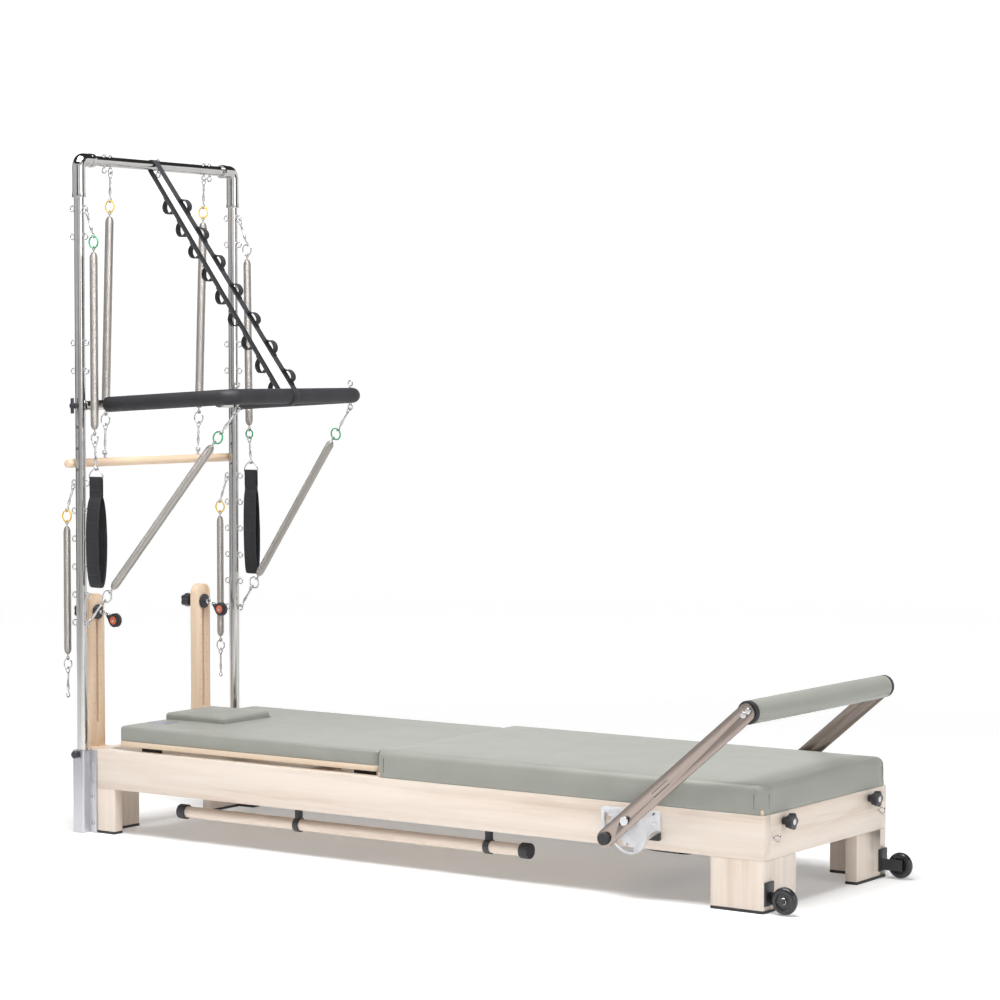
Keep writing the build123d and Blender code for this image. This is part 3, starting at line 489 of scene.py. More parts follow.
STORED_Y = (-0.12, -0.06, 0, 0.06, 0.12)
ends = Piece("stored_spring_ends", coil_steel)
for i, y in enumerate(STORED_Y):
    centre_z = 0.206
    coil(f"stored_spring_{i + 1}", (1.08, y, centre_z), (0.52, y, centre_z), 0.014, "frame", pitch=0.0034)
    ends.turned(
        (1.08, y, centre_z), (1, 0, 0),
        [(-0.006, 0), (-0.006, 0.009), (-0.001, 0.006), (0.003, 0.002), (0.012, 0.002), (0.012, 0)],
        coil_steel, 20,
    )
    ends.turned(
        (0.52, y, centre_z), (-1, 0, 0), [(-0.006, 0), (-0.006, 0.009), (0.001, 0.006), (0.002, 0)],
        coil_steel, 20,
    )
    ends.wire(
        ring_path(Vector((1.098, y, centre_z)), Vector((1, 0, 0)), Vector((0, 1, 0)), 0.008), 0.002,
        coil_steel, closed=True,
    )
ends.done("frame", ["carriage_springs"], "spring_steel")

# ---- Carriage ---------------------------------------------------------------------------------
# A birch plywood board with a firm foam top, covered in sage grey upholstery vinyl that is pulled
# over the edges and stapled. Two steel sockets at the head end take the shoulder rests.


def vinyl(name, light, dark):
    """Upholstery vinyl: a fine pebbled grain with soft creases and a low sheen."""
    made, shader, add, link = material(name)
    vector = placed(add, link, (1, 1, 1))
    pebble = add("TexVoronoi", feature="SMOOTH_F1", Scale=620.0)
    link(vector, pebble.inputs["Vector"])
    crease = add("TexNoise", Scale=9.0, Detail=5.0, Roughness=0.6)
    link(vector, crease.inputs["Vector"])
    fine = add("TexNoise", Scale=240.0, Detail=3.0)
    link(vector, fine.inputs["Vector"])
    height = add("Math", operation="MULTIPLY_ADD")
    height.inputs[1].default_value = 0.6
    link(pebble.outputs["Distance"], height.inputs[0])
    link(fine.outputs["Fac"], height.inputs[2])
    link(
        graded(add, link, crease.outputs["Fac"], [(0.3, dark), (0.65, light)]), shader.inputs["Base Color"],
    )
    gloss = [(0.35, (0.40,) * 3), (0.7, (0.52,) * 3)]
    link(graded(add, link, crease.outputs["Fac"], gloss), shader.inputs["Roughness"])
    shader.inputs["Sheen Weight"].default_value = 0.1
    bumped(add, link, shader, height.outputs[0], 0.25, 0.00035)
    return made


SAGE = ((0.272, 0.278, 0.246), (0.246, 0.252, 0.222))
sage = vinyl("sage_vinyl", *SAGE)


def rounded_outline(half_x, half_y, corner, steps, spans):
    """Points round a rectangle with round corners, always the same number, with a tight pair beside each corner."""
    corner = min(corner, half_x, half_y)
    points = []
    quarter = [(1, 1), (-1, 1), (-1, -1), (1, -1)]
    for i, (sx, sy) in enumerate(quarter):
        cx, cy = sx * (half_x - corner), sy * (half_y - corner)
        for k in range(steps + 1):
            a = math.pi / 2 * (i + k / steps)
            points.append((cx + corner * math.cos(a), cy + corner * math.sin(a)))
        nx, ny = quarter[(i + 1) % 4]
        a = math.pi / 2 * (i + 1)
        start = points[-1]
        finish_point = (
            nx * (half_x - corner) + corner * math.cos(a), ny * (half_y - corner) + corner * math.sin(a),
        )
        run = math.dist(start, finish_point)
        count = spans[i % 2]
        near = min(0.003 / max(run, 1e-6), 0.3)
        for share in [near] + [
            near + (1 - 2 * near) * j / (count + 1)
            for j in range(1, count + 1)
        ] + [1 - near]:
            points.append(tuple(a_ + (b_ - a_) * share for a_, b_ in zip(start, finish_point)))
    return points


def cushion(name, low, high, corner, edge, crown, belly, seam=0.0, recess=None):
    """A firm pad: sides that swell between the corners, a rolled top edge and a crowned face."""
    centre = (low + high) / 2
    half_x, half_y = (high.x - low.x) / 2, (high.y - low.y) / 2
    steps, spans = 10, [max(3, int(half_x / 0.012)), max(3, int(half_y / 0.012))]
    shoulder = high.z - crown - edge
    layers = []
    if recess:
        layers += [(recess[0], low.z + recess[1], 0), (recess[0], low.z, 0)]
    layers += [(0.0016, low.z, 0), (0.0004, low.z + 0.0012, 0)]
    layers += [
        (0, low.z + (shoulder - low.z) * t, math.sin(math.pi * t))
        for t in (0.1, 0.25, 0.4, 0.55, 0.7, 0.85, 1.0)
    ]
    for k in range(1, 9):
        a = math.pi / 2 * k / 8
        layers.append((edge * (1 - math.cos(a)), shoulder + edge * math.sin(a), 0))
    reach = min(half_x, half_y) - 0.003
    for k in range(1, 15):
        inset = edge + (reach - edge) * (k / 14) ** 1.5
        layers.append((inset, high.z - crown * math.exp(-(inset - edge) / 0.045), 0))
    made = Piece(name, sage)
    rings = []
    for inset, z, swell in layers:
        ring = []
        radius = max(corner - inset, 0.004)
        outline = rounded_outline(half_x - inset, half_y - inset, radius, steps, [spans[0], spans[1]])
        for k, (x, y) in enumerate(outline):
            toward_x, toward_y = x / half_x, y / half_y
            middle = 1 - min(abs(toward_x), abs(toward_y)) ** 4
            push = belly * swell * middle
            wave = noise.noise(Vector((x * 7 + centre.x, y * 7, z * 4))) * 0.0006
            out = Vector((x, y, 0)).normalized() if abs(toward_x) > 0.97 and abs(toward_y) > 0.97 else Vector(
                (math.copysign(1, x), 0, 0) if abs(toward_x) > abs(toward_y) else (0, math.copysign(1, y), 0)
            )
            spot = Vector((centre.x + x, centre.y + y, z)) + out * (push + (wave if inset < edge else 0))
            if inset >= edge:
                spot.z += noise.noise(
                    Vector((x * 5 + 3, y * 5, centre.x))
                ) * 0.0007 * min(1, (inset - edge) / 0.05)
            ring.append(spot)
        if seam and inset < edge * 0.95:
            marks = [k for k, (x, y) in enumerate(outline) if is_corner_end(k, steps, spans)]
            for k in marks:
                ring[k] = ring[k] + (Vector((centre.x, centre.y, ring[k].z)) - ring[k]).normalized() * seam
        rings.append(ring)
    made.skin(rings, sage)
    return made


def is_corner_end(k, steps, spans):
    """True for the two points where a round corner meets its straight sides."""
    sides = [steps + 1 + spans[i % 2] + 2 for i in range(4)]
    for size in sides:
        if k < size:
            return k in (0, steps)
        k -= size
    return False


def block(low, high):
    """A plain block used only as a cutting tool."""
    mesh = bpy.data.meshes.new("cutter")
    work = bmesh.new()
    bmesh.ops.create_cube(work, size=1)
    for v in work.verts:
        v.co = Vector([low[i] if v.co[i] < 0 else high[i] for i in range(3)])
    work.to_mesh(mesh)
    work.free()
    made = bpy.data.objects.new("cutter", mesh)
    bpy.context.scene.collection.objects.link(made)
    return made


def carved(made, *boxes):
    """Cut blocks out of a piece."""
    for low, high in boxes:
        tool = block(low, high)
        cut = made.modifiers.new("cut", "BOOLEAN")
        cut.operation, cut.object, cut.solver = "DIFFERENCE", tool, "EXACT"
        evaluated(made)
        bpy.data.objects.remove(tool)
    return made


eased("carriage_plywood", "carriage_board", "carriage", ply, 0.001)
low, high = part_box("carriage_cushion")
head_low, head_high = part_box("headrest_cushion")
top = cushion("carriage_upholstery", low, high, 0.022, 0.009, 0.002, 0.002).cast()
top.data.polygons.foreach_set("use_smooth", [True] * len(top.data.polygons))
SOCKET_X, SOCKET_Y = -1.016, 0.2
cuts = [
    (
        (head_low.x - 0.02, head_low.y - 0.002, low.z - 0.001),
        (head_high.x + 0.002, head_high.y + 0.002, high.z + 0.05),
    )
]
for y in (-SOCKET_Y, SOCKET_Y):
    cuts.append(
        ((SOCKET_X - 0.0455, y - 0.0255, high.z - 0.0062), (SOCKET_X + 0.0455, y + 0.0255, high.z + 0.05))
    )
    cuts.append(((SOCKET_X + 0.0048, y - 0.0182, low.z - 0.001), (SOCKET_X + 0.0402, y + 0.0182, high.z)))
carved(top, *cuts)
shown(top, "carriage", ["carriage_cushion"])
socket_grey = moulded("grey_socket_plate", (0.235, 0.235, 0.30), 0.45)
eased("socket_plates", "shoulder_sockets", "carriage", socket_grey, 0.0006)
eased("runner_angles", "carriage_runners", "carriage", black_coat, 0.0008)
wheel_cream = moulded("cream_urethane", (0.62, 0.58, 0.46), 0.3)
eased("head_wheels", "carriage_wheels_head", "wheels_head", wheel_cream, 0.0015)
eased("foot_wheels", "carriage_wheels_foot", "wheels_foot", wheel_cream, 0.0015)

# ---- Headrest ---------------------------------------------------------------------------------
# A small padded board in a pocket of the carriage, hinged at its foot end so that it props up.

eased("headrest_plywood", "headrest_board", "headrest", ply, 0.001)
pad = cushion("headrest_upholstery", head_low, head_high, 0.02, 0.01, 0.004, 0.001)
pad.done("headrest", ["headrest_cushion"], "sage_vinyl")

# ---- Fitted mat -------------------------------------------------------------------------------
# A long padded board that drops in over the rails at the foot end. Its cover is boxed: two sewn lines
# run down beside each corner, darkened by wires of painted shade, and a thin dark line shows where it meets the
# rails.

eased("mat_plywood", "mat_board", "mat", ply, 0.001)
low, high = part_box("mat_cushion")
pad = cushion("mat_upholstery", low, high, 0.03, 0.022, 0.005, 0.003, seam=0.0016, recess=(0.0062, 0.0138))
# The dark wires beside each corner are painted shade: they stand in for the shadow in the sewn seams.
painted_seam_shade = moulded("painted_seam_shade", (0.085, 0.09, 0.078), 0.7)
pad.finishes.append(painted_seam_shade)
for side_x, edge_x in ((1, high.x), (-1, low.x)):
    for side_y, edge_y in ((1, high.y), (-1, low.y)):
        for place in (
            (edge_x - side_x * 0.03, edge_y - side_y * 0.0008),
            (edge_x - side_x * 0.0008, edge_y - side_y * 0.03),
        ):
            pad.wire(
                [Vector((*place, low.z + 0.016 + (high.z - low.z - 0.045) * k / 12)) for k in range(13)],
                0.001, painted_seam_shade, sides=6,
            )
pad.done("mat", ["mat_cushion"], "sage_vinyl")

# ---- Footbar ----------------------------------------------------------------------------------
# Polished flat steel arms on pivot bolts outside the rails, with a vinyl-covered roller between
# their tops and rubber grips with locking pegs below. Notched plates on the rails set the height.

PIVOT = Vector((0.82, 0, 0.22))
BAR_ANGLE = math.radians(40.3)
bar_along = Vector((math.cos(BAR_ANGLE), 0, math.sin(BAR_ANGLE)))
bar_up = Vector((-math.sin(BAR_ANGLE), 0, math.cos(BAR_ANGLE)))
Y_AXIS = Vector((0, 1, 0))
ARM_FACE, BAR_LENGTH = 0.4, 0.494

notched = moulded("light_plate_coat", (0.56, 0.56, 0.58), 0.34)
eased("notched_plates", "footbar_plates", "frame", notched, 0.0008)
eased("pivot_bolts", "footbar_pivots", "footbar_pivot", plated, 0.0008)
bar_steel = metal(
    "polished_arm_bar", (0.34, 0.285, 0.255), 0.2, brushed=0, strength=0.12, turn=(0, -BAR_ANGLE, 0),
)
eased("footbar_side_arms", "footbar_arms", "footbar", bar_steel, 0.0012)
eased("footbar_bolts", "footbar_tube", "footbar", plated, 0.001)
eased("footbar_grip_caps", "footbar_grips", "footbar", rubber, 0.0015)

marks = Piece("arm_setting_marks", black_plastic)
for side in (-1, 1):
    for across in (-0.006, 0.006):
        middle = PIVOT + bar_along * 0.15 + bar_up * across + Y_AXIS * side * (ARM_FACE + 0.0001)
        flat = [(0.032, 0.0008), (-0.032, 0.0008), (-0.032, -0.0008), (0.032, -0.0008)]
        rings = [
            [middle + bar_along * u + bar_up * v + Y_AXIS * side * d for u, v in flat]
            for d in (-0.0004, 0.0002)
        ]
        marks.skin(rings, black_plastic)
marks.done("footbar", (), "polished_steel")

roller_end = 0.3795
roller = Piece("roller_upholstery", sage)
profile = [(-roller_end, 0.0195), (-roller_end, 0.0300), (-roller_end + 0.002, 0.0316)]
profile += [
    (-roller_end + 2 * roller_end * t, 0.0316 + 0.0012 * math.sin(math.pi * t) ** 0.4)
    for t in [k / 40 for k in range(1, 40)]
]
profile += [(roller_end - 0.002, 0.0316), (roller_end, 0.0300), (roller_end, 0.0195)]
roller_centre = PIVOT + bar_along * BAR_LENGTH
roller.turned(roller_centre, Y_AXIS, profile, sage, 48)
seam_side = (bar_along * 0.3 - bar_up).normalized() * 0.0322
seam_path = [roller_centre + seam_side + Y_AXIS * (-0.372 + 0.744 * k / 60) for k in range(61)]
roller.wire(seam_path, 0.0009, sage, sides=6)
roller.done("footbar", ["footbar_pad"], "sage_vinyl")

# ---- Tower ------------------------------------------------------------------------------------
# Chrome tube posts in cast aluminium side brackets, joined by a top bar in slip-on elbows. Eyebolts
# through the posts and the bar hold the springs.

eased("post_brackets", "tower_brackets", "frame", bracket_grey, 0.0015)
eased("chrome_posts", "tower_posts", "frame", chrome, 0)
eased("chrome_top_bar", "tower_top_bar", "frame", chrome, 0)

POST = Vector((-1.198, 0.368, 0))
TOP_Z, ELBOW_R = 2.09, 0.021


def bent(points, radius, steps=10):
    """A path through some corners, each rounded to a radius."""
    points = [Vector(p) for p in points]
    path = [points[0]]
    for before, here, after in zip(points, points[1:], points[2:]):
        into, away = (here - before).normalized(), (after - here).normalized()
        half = into.angle(away) / 2
        back = radius * math.tan(half)
        centre = here - into * back + (away - into * into.dot(away)).normalized() * radius
        first, arm = here - into * back - centre, into
        for k in range(steps + 1):
            a = 2 * half * k / steps
            path.append(centre + first * math.cos(a) + arm * radius * math.sin(a))
    return path + [points[-1]]


fittings = Piece("chrome_elbows", chrome)
for side in (-1, 1):
    corner = Vector((POST.x, side * POST.y, TOP_Z))
    path = bent([corner - Vector((0, 0, 0.116)), corner, corner - Y_AXIS * side * 0.060], 0.0215, 12)
    fittings.wire(path, ELBOW_R, chrome, sides=40)
    for at, axis in ((path[0], Vector((0, 0, -1))), (path[-1], -Y_AXIS * side)):
        fittings.turned(
            at - axis * 0.002, axis,
            [(-0.012, ELBOW_R), (-0.012, 0.0222), (0.001, 0.0226), (0.003, 0.0218), (0.003, 0.0168)],
            chrome, 40,
        )
fittings.done("frame", ["tower_elbows"], "chrome")

eye_tree, given, add, finish = tree(
    "double_eyebolt", Out="Float", Ring="Float", Wire="Float", Stem="Float", Turn="Vector",
    Finish="Material",
)
gauge = add("CurvePrimitiveCircle", Resolution=10, Radius=given["Wire"])
loop = add("CurvePrimitiveCircle", Resolution=28, Radius=given["Ring"])
ring = add("CurveToMesh", Curve=loop.outputs[0], Profile_Curve=gauge.outputs[0])
upright = add("Transform", Geometry=ring.outputs[0], Rotation=(math.pi / 2, 0, 0))
sides = add("MeshLine", Count=2)
sides.mode = "END_POINTS"
for socket, sign in (("Start Location", -1), ("Offset", 1)):
    eye_tree.links.new(
        vector_of(eye_tree, maths(eye_tree, "MULTIPLY", given["Out"], sign), 0, 0), sides.inputs[socket],
    )
rings = add("InstanceOnPoints", Points=sides.outputs[0], Instance=upright.outputs[0])
shank = add("MeshCylinder", Vertices=14, Radius=0.003, Depth=given["Stem"])
lying = add("Transform", Geometry=shank.outputs[0], Rotation=(0, math.pi / 2, 0))
collar = add("MeshCylinder", Vertices=6, Radius=0.0048, Depth=0.0375)
nuts = add("Transform", Geometry=collar.outputs[0], Rotation=(0, math.pi / 2, 0))
joined = add("JoinGeometry")
for part in (rings, lying, nuts):
    eye_tree.links.new(part.outputs[0], joined.inputs[0])
turned = add("Transform", Geometry=joined.outputs[0], Rotation=given["Turn"])
placed_eyes = add("InstanceOnPoints", Points=given["Geometry"], Instance=turned.outputs[0])
finish(placed_eyes.outputs[0])

EYE_OUT, EYE_R, EYE_WIRE = 0.0278, 0.0085, 0.0024
EYE_HEIGHTS = [0.654 + 0.0872 * i for i in range(6)] + [1.437, 1.524, 1.852, 1.939]
spots = [(POST.x, side * POST.y, z) for side in (-1, 1) for z in EYE_HEIGHTS]
eyes = grown(
    "post_eyebolts", eye_tree, spots, Out=EYE_OUT, Ring=EYE_R, Wire=EYE_WIRE, Stem=0.038,
    Turn=(0.0, 0.0, 0.0), Finish=plated,
)
shown(eyes, "frame", ["eyebolts"], 50)
HANG_Y = (-0.252, -0.224, 0, 0.224, 0.252)
hangers = Piece("hanging_eyebolts", plated)
for y in HANG_Y:
    bar = Vector((POST.x, y, TOP_Z))
    hangers.turned(
        bar, (0, 0, 1),
        [
            (-0.019, 0.003), (0.0162, 0.003), (0.0162, 0.0062), (0.0205, 0.0058), (0.021, 0.003),
            (0.0235, 0.0026), (0.0235, 0),
        ],
        plated, 16,
    )
    hangers.wire(
        ring_path(bar - Vector((0, 0, EYE_OUT)), Vector((1, 0, 0)), Vector((0, 0, 1)), EYE_R), EYE_WIRE,
        plated, closed=True,
    )
hangers.done("frame", (), "zinc_steel")

# ---- Push-through bar -------------------------------------------------------------------------
# A bent chrome tube on pivot barrels between the posts, sleeved in black foam, with an eyebolt near
# each corner. Black T handles clamp the pivot bolts outside the posts.

PUSH_Z, PUSH_REACH, PUSH_RISE, PUSH_Y, FOAM_R = 1.33, 0.558, 0.03, 0.312, 0.024
TUBE_R, CORNER_R = 0.016, 0.034
push_hub = Vector((POST.x, 0, PUSH_Z))
push_end = Vector((POST.x + PUSH_REACH, 0, PUSH_Z + PUSH_RISE))
arm_along = (push_end - push_hub).normalized()
X_AXIS, Z_AXIS = Vector((1, 0, 0)), Vector((0, 0, 1))
near_y, far_y = -Y_AXIS * PUSH_Y, Y_AXIS * PUSH_Y


def push_path(start):
    return bent(
        [
            push_hub + arm_along * start + near_y, push_end + near_y, push_end + far_y,
            push_hub + arm_along * start + far_y,
        ],
        CORNER_R, 12,
    )


def foam_skin(name):
    """Closed-cell foam: a fine pitted skin with a dull sheen."""
    made, shader, add, link = material(name)
    vector = placed(add, link, (1, 1, 1))
    cells = add("TexVoronoi", feature="F1", Scale=480.0)
    link(vector, cells.inputs["Vector"])
    scuff = add("TexNoise", Scale=14.0, Detail=4.0)
    link(vector, scuff.inputs["Vector"])
    link(
        graded(
            add, link, scuff.outputs["Fac"], [(0.35, (0.009, 0.009, 0.012)), (0.75, (0.017, 0.016, 0.021))],
        ),
        shader.inputs["Base Color"],
    )
    shader.inputs["Roughness"].default_value = 0.6
    shader.inputs["Sheen Weight"].default_value = 0.04
    bumped(add, link, shader, cells.outputs["Distance"], 0.35, 0.0004)
    return made


foam = foam_skin("black_foam_skin")
tube = Piece("push_bar_frame", chrome, plated)
tube.wire(push_path(0.014), TUBE_R, chrome, sides=32)
for side in (-1, 1):
    hub = push_hub + Y_AXIS * side * PUSH_Y
    out = Y_AXIS * side
    tube.turned(
        hub, out,
        [
            (-0.018, 0.0084), (-0.018, 0.0142), (-0.017, 0.015), (0.037, 0.015), (0.0385, 0.0142),
            (0.0385, 0.0084),
        ],
        chrome, 36,
    )
    eye_at = push_end + Y_AXIS * side * (PUSH_Y - 0.034)
    tube.turned(
        eye_at, (0, 0, 1),
        [
            (-0.031, 0), (-0.031, 0.003), (-0.0262, 0.003), (-0.0262, 0.006), (-0.0245, 0.006),
            (-0.0245, 0.003), (0.0245, 0.003), (0.0245, 0.006), (0.0262, 0.006), (0.0262, 0.003),
            (0.031, 0.003), (0.031, 0),
        ],
        plated, 14,
    )
    for up in (-1, 1):
        tube.wire(
            ring_path(eye_at + Z_AXIS * up * (FOAM_R + 0.014), X_AXIS, Z_AXIS, EYE_R), EYE_WIRE, plated,
            closed=True,
        )
tube.done("push_bar", ["push_bar_tube"], "chrome")

sleeve = Piece("push_bar_foam", foam)
foam_path = push_path(0.062)
first, last = foam_path[0], foam_path[-1]
foam_path = [
    first, first + arm_along * 0.0015, first + arm_along * 0.004,
] + foam_path[1:-1] + [last + arm_along * 0.004, last + arm_along * 0.0015, last]
run = len(foam_path) - 1
ends_r = {0: 0.0215, 1: 0.0233, 2: FOAM_R, run - 2: FOAM_R, run - 1: 0.0233, run: 0.0215}
sleeve.sweep(foam_path, lambda share: round_section(ends_r.get(round(share * run), FOAM_R), 36), foam)
sleeve.done("push_bar", ["push_bar_sleeve"], "black_foam")
eased("push_bar_t_handles", "push_bar_handles", "frame", black_plastic, 0.0012)

# ---- Spring hardware --------------------------------------------------------------------------
# Every hanging spring is a chain: snap hook, split ring, closed coil with eyes, ring, snap hook.
# Some rings are dipped in colour to tell the spring weights apart.

GAP, SNAP_WIRE, RING_WIRE, COIL_WIRE = 0.0003, 0.0022, 0.0026, 0.0018
SNAP_TOP_R, SNAP_LOW_R, RING_R, COIL_EYE_R, NECK = 0.0085, 0.007, 0.018, 0.006, 0.008
SNAP_LENGTH = 0.094
green = moulded("green_dip", (0.035, 0.30, 0.13), 0.28)
yellow = moulded("yellow_dip", (0.68, 0.42, 0.035), 0.28)


def snap_hook(chain, at, down, flat, length=SNAP_LENGTH):
    """A swivel snap: an open nose with a sprung gate, a waisted barrel and an eye."""
    nose = at + down * SNAP_TOP_R
    chain.wire(ring_path(nose, down, flat, SNAP_TOP_R, 62, 372, 34), SNAP_WIRE, plated)
    gate_low = nose + (down * math.cos(math.radians(12)) + flat * math.sin(math.radians(12))) * SNAP_TOP_R
    gate_high = nose + (down * math.cos(math.radians(66)) + flat * math.sin(math.radians(66))) * SNAP_TOP_R
    chain.wire(
        [gate_low, (gate_low + gate_high) / 2 + (gate_high - nose) * 0.05, gate_high], SNAP_WIRE * 0.8,
        plated,
    )
    end = at + down * length
    reach = length - 2 * SNAP_TOP_R - 2 * SNAP_LOW_R
    shape = [
        (0, 0.0024), (0.001, 0.0046), (0.004, 0.0048), (0.006, 0.0036), (reach * 0.55, 0.0033),
        (reach * 0.6, 0.0047), (reach * 0.8, 0.0049), (reach * 0.86, 0.0030), (reach, 0.0024),
    ]
    barrel = at + down * (2 * SNAP_TOP_R - 0.001)
    chain.turned(barrel, down, [(offset * (reach + 0.002) / reach, r) for offset, r in shape], plated, 18)
    knob = barrel + down * reach * 0.3
    chain.turned(
        knob, flat, [(0, 0), (0.001, 0.0016), (0.0062, 0.0016), (0.0072, 0.001), (0.0075, 0)], plated, 10,
    )
    chain.wire(
        ring_path(end - down * SNAP_LOW_R, down, flat, SNAP_LOW_R, steps=30), SNAP_WIRE, plated,
        closed=True,
    )
    return end


def link(chain, at, down, cross, radius, finish):
    """A split ring hanging from the link above."""
    chain.wire(
        ring_path(at + down * radius, down, cross, radius, steps=36), RING_WIRE, finish, closed=True,
        sides=14,
    )
    return at + down * 2 * radius


def eye_and_coil(chain, name, at, down, flat, body_length, outer, body, place=None):
    """A closed coil with its hooked eyes, from the point its upper eye hangs on."""
    chain.wire(
        ring_path(at + down * COIL_EYE_R, down, flat, COIL_EYE_R, steps=28), COIL_WIRE, coil_steel,
        closed=True,
    )
    start = at + down * (2 * COIL_EYE_R + NECK)
    stop = start + down * body_length
    end = stop + down * (2 * COIL_EYE_R + NECK)
    chain.wire(
        ring_path(end - down * COIL_EYE_R, down, flat, COIL_EYE_R, steps=28), COIL_WIRE, coil_steel,
        closed=True,
    )
    cone = [
        (-NECK, COIL_WIRE), (-0.003, COIL_WIRE), (-0.0022, outer * 0.3), (0.0005, outer * 0.5),
        (0.004, outer * 0.5), (0.004, 0),
    ]
    chain.turned(start, down, cone, coil_steel, 24)
    chain.turned(stop, -down, cone, coil_steel, 24)
    a, b = (start, stop) if place is None else (place @ start, place @ stop)
    coil(name, a, b, outer, body)
    return end


def below(at, down, wire_above, wire_below):
    """Where the next link's wire rests inside the one above."""
    return at - down * (wire_above + wire_below + GAP)


def full_chain(chain, name, at, down, flat, cross, low, outer, upper, lower, body):
    """A whole spring chain between two points, with its coil as long as it needs to be."""
    fixed = 2 * SNAP_LENGTH + 4 * RING_R + 4 * COIL_EYE_R + 2 * NECK
    fixed -= 2 * (SNAP_WIRE + RING_WIRE + GAP) + 2 * (RING_WIRE + COIL_WIRE + GAP)
    body_length = (low - at).dot(down) - fixed
    end = snap_hook(chain, at, down, flat)
    end = link(chain, below(end, down, SNAP_WIRE, RING_WIRE), down, cross, RING_R, upper)
    end = eye_and_coil(
        chain, name, below(end, down, RING_WIRE, COIL_WIRE), down, flat, body_length, outer, body,
    )
    end = link(chain, below(end, down, COIL_WIRE, RING_WIRE), down, cross, RING_R, lower)
    snap_hook(chain, below(end, down, RING_WIRE, SNAP_WIRE), down, flat)


hang = EYE_R - EYE_WIRE - SNAP_WIRE - GAP
chain = Piece("push_spring_hooks", plated, coil_steel, green)
for side, name in ((-1, "near"), (1, "far")):
    low_eye = Vector((POST.x + EYE_OUT, side * POST.y, 0.654))
    high_eye = push_end + Y_AXIS * side * (PUSH_Y - 0.034) - Z_AXIS * (FOAM_R + 0.014)
    down = (low_eye - high_eye).normalized()
    flat = down.cross(X_AXIS).normalized()
    cross = down.cross(flat).normalized()
    full_chain(
        chain, f"push_spring_coil_{name}", high_eye + down * hang, down, flat, cross, low_eye - down * hang,
        0.013, green, plated, "frame",
    )
chain.done("frame", ["push_springs"], "spring_steel")

# ---- Ladder strap -----------------------------------------------------------------------------
# One long loop of black nylon webbing round the top bar and the push bar, with short hand loops
# sewn flat to both runs.


def webbing(name, colour, scale=1.0):
    """Woven nylon: a tight basket of ribs that follows the strap, with a dry sheen."""
    made, shader, add, link = material(name)
    where = add("UVMap", uv_map="Along")
    mapping = add("Mapping")
    mapping.inputs["Scale"].default_value = (scale, scale, 1)
    link(where.outputs["UV"], mapping.inputs["Vector"])
    rib = add("TexWave", wave_type="BANDS", bands_direction="X", Scale=130.0)
    cross_rib = add("TexWave", wave_type="BANDS", bands_direction="Y", Scale=170.0)
    for texture in (rib, cross_rib):
        link(mapping.outputs["Vector"], texture.inputs["Vector"])
    weave = add("Math", operation="MULTIPLY")
    link(rib.outputs["Fac"], weave.inputs[0])
    link(cross_rib.outputs["Fac"], weave.inputs[1])
    pale = tuple(c * 2.1 + 0.008 for c in colour)
    link(graded(add, link, weave.outputs[0], [(0.2, colour), (0.9, pale)]), shader.inputs["Base Color"])
    shader.inputs["Roughness"].default_value = 0.66
    shader.inputs["Sheen Weight"].default_value = 0.12
    shader.inputs["Sheen Roughness"].default_value = 0.4
    bumped(add, link, shader, weave.outputs[0], 0.5, 0.0006)
    return made


nylon = webbing("black_nylon", (0.006, 0.006, 0.009))
thread = moulded("black_thread", (0.02, 0.02, 0.025), 0.5)


def band(width, thick):
    """The section of flat webbing, with soft selvedges."""
    w, t, c = width / 2, thick / 2, min(thick * 0.42, 0.001)
    return [
        (w, -t + c), (w, t - c), (w - c, t), (0.5 * w, t), (0, t), (-0.5 * w, t), (-w + c, t), (-w, t - c),
        (-w, -t + c), (-w + c, -t), (-0.5 * w, -t), (0, -t), (0.5 * w, -t), (w - c, -t),
    ]


STRAP_Y, STRAP_W, STRAP_T = -0.024, 0.025, 0.0025
high_at, low_at = Vector((POST.x, STRAP_Y, TOP_Z)), Vector((push_end.x, STRAP_Y, push_end.z))
run_down = (low_at - high_at).normalized()
outward = Vector((-run_down.z, 0, run_down.x)) * -1
high_r, low_r = TUBE_R + 0.0005 + STRAP_T / 2, FOAM_R + 0.0005 + STRAP_T / 2
slope = math.asin((low_r - high_r) / (low_at - high_at).length)
strap_path = []
for centre, radius, first, last in (
    (high_at, high_r, 90 + math.degrees(slope), 270 - math.degrees(slope)),
    (low_at, low_r, -90 - math.degrees(slope), 90 + math.degrees(slope)),
):
    for k in range(17):
        a = math.radians(first + (last - first) * k / 16)
        strap_path.append(centre + run_down * math.cos(a) * radius + outward * math.sin(a) * radius)
dense = []
for a, b in zip(strap_path, strap_path[1:] + strap_path[:1]):
    pieces = max(1, int((b - a).length / 0.02))
    dense += [a.lerp(b, k / pieces) for k in range(pieces)]
strap = Piece("ladder_strap_webbing", nylon, thread)
strap.sweep(dense, band(STRAP_W, STRAP_T), nylon, side=Y_AXIS, closed=True)
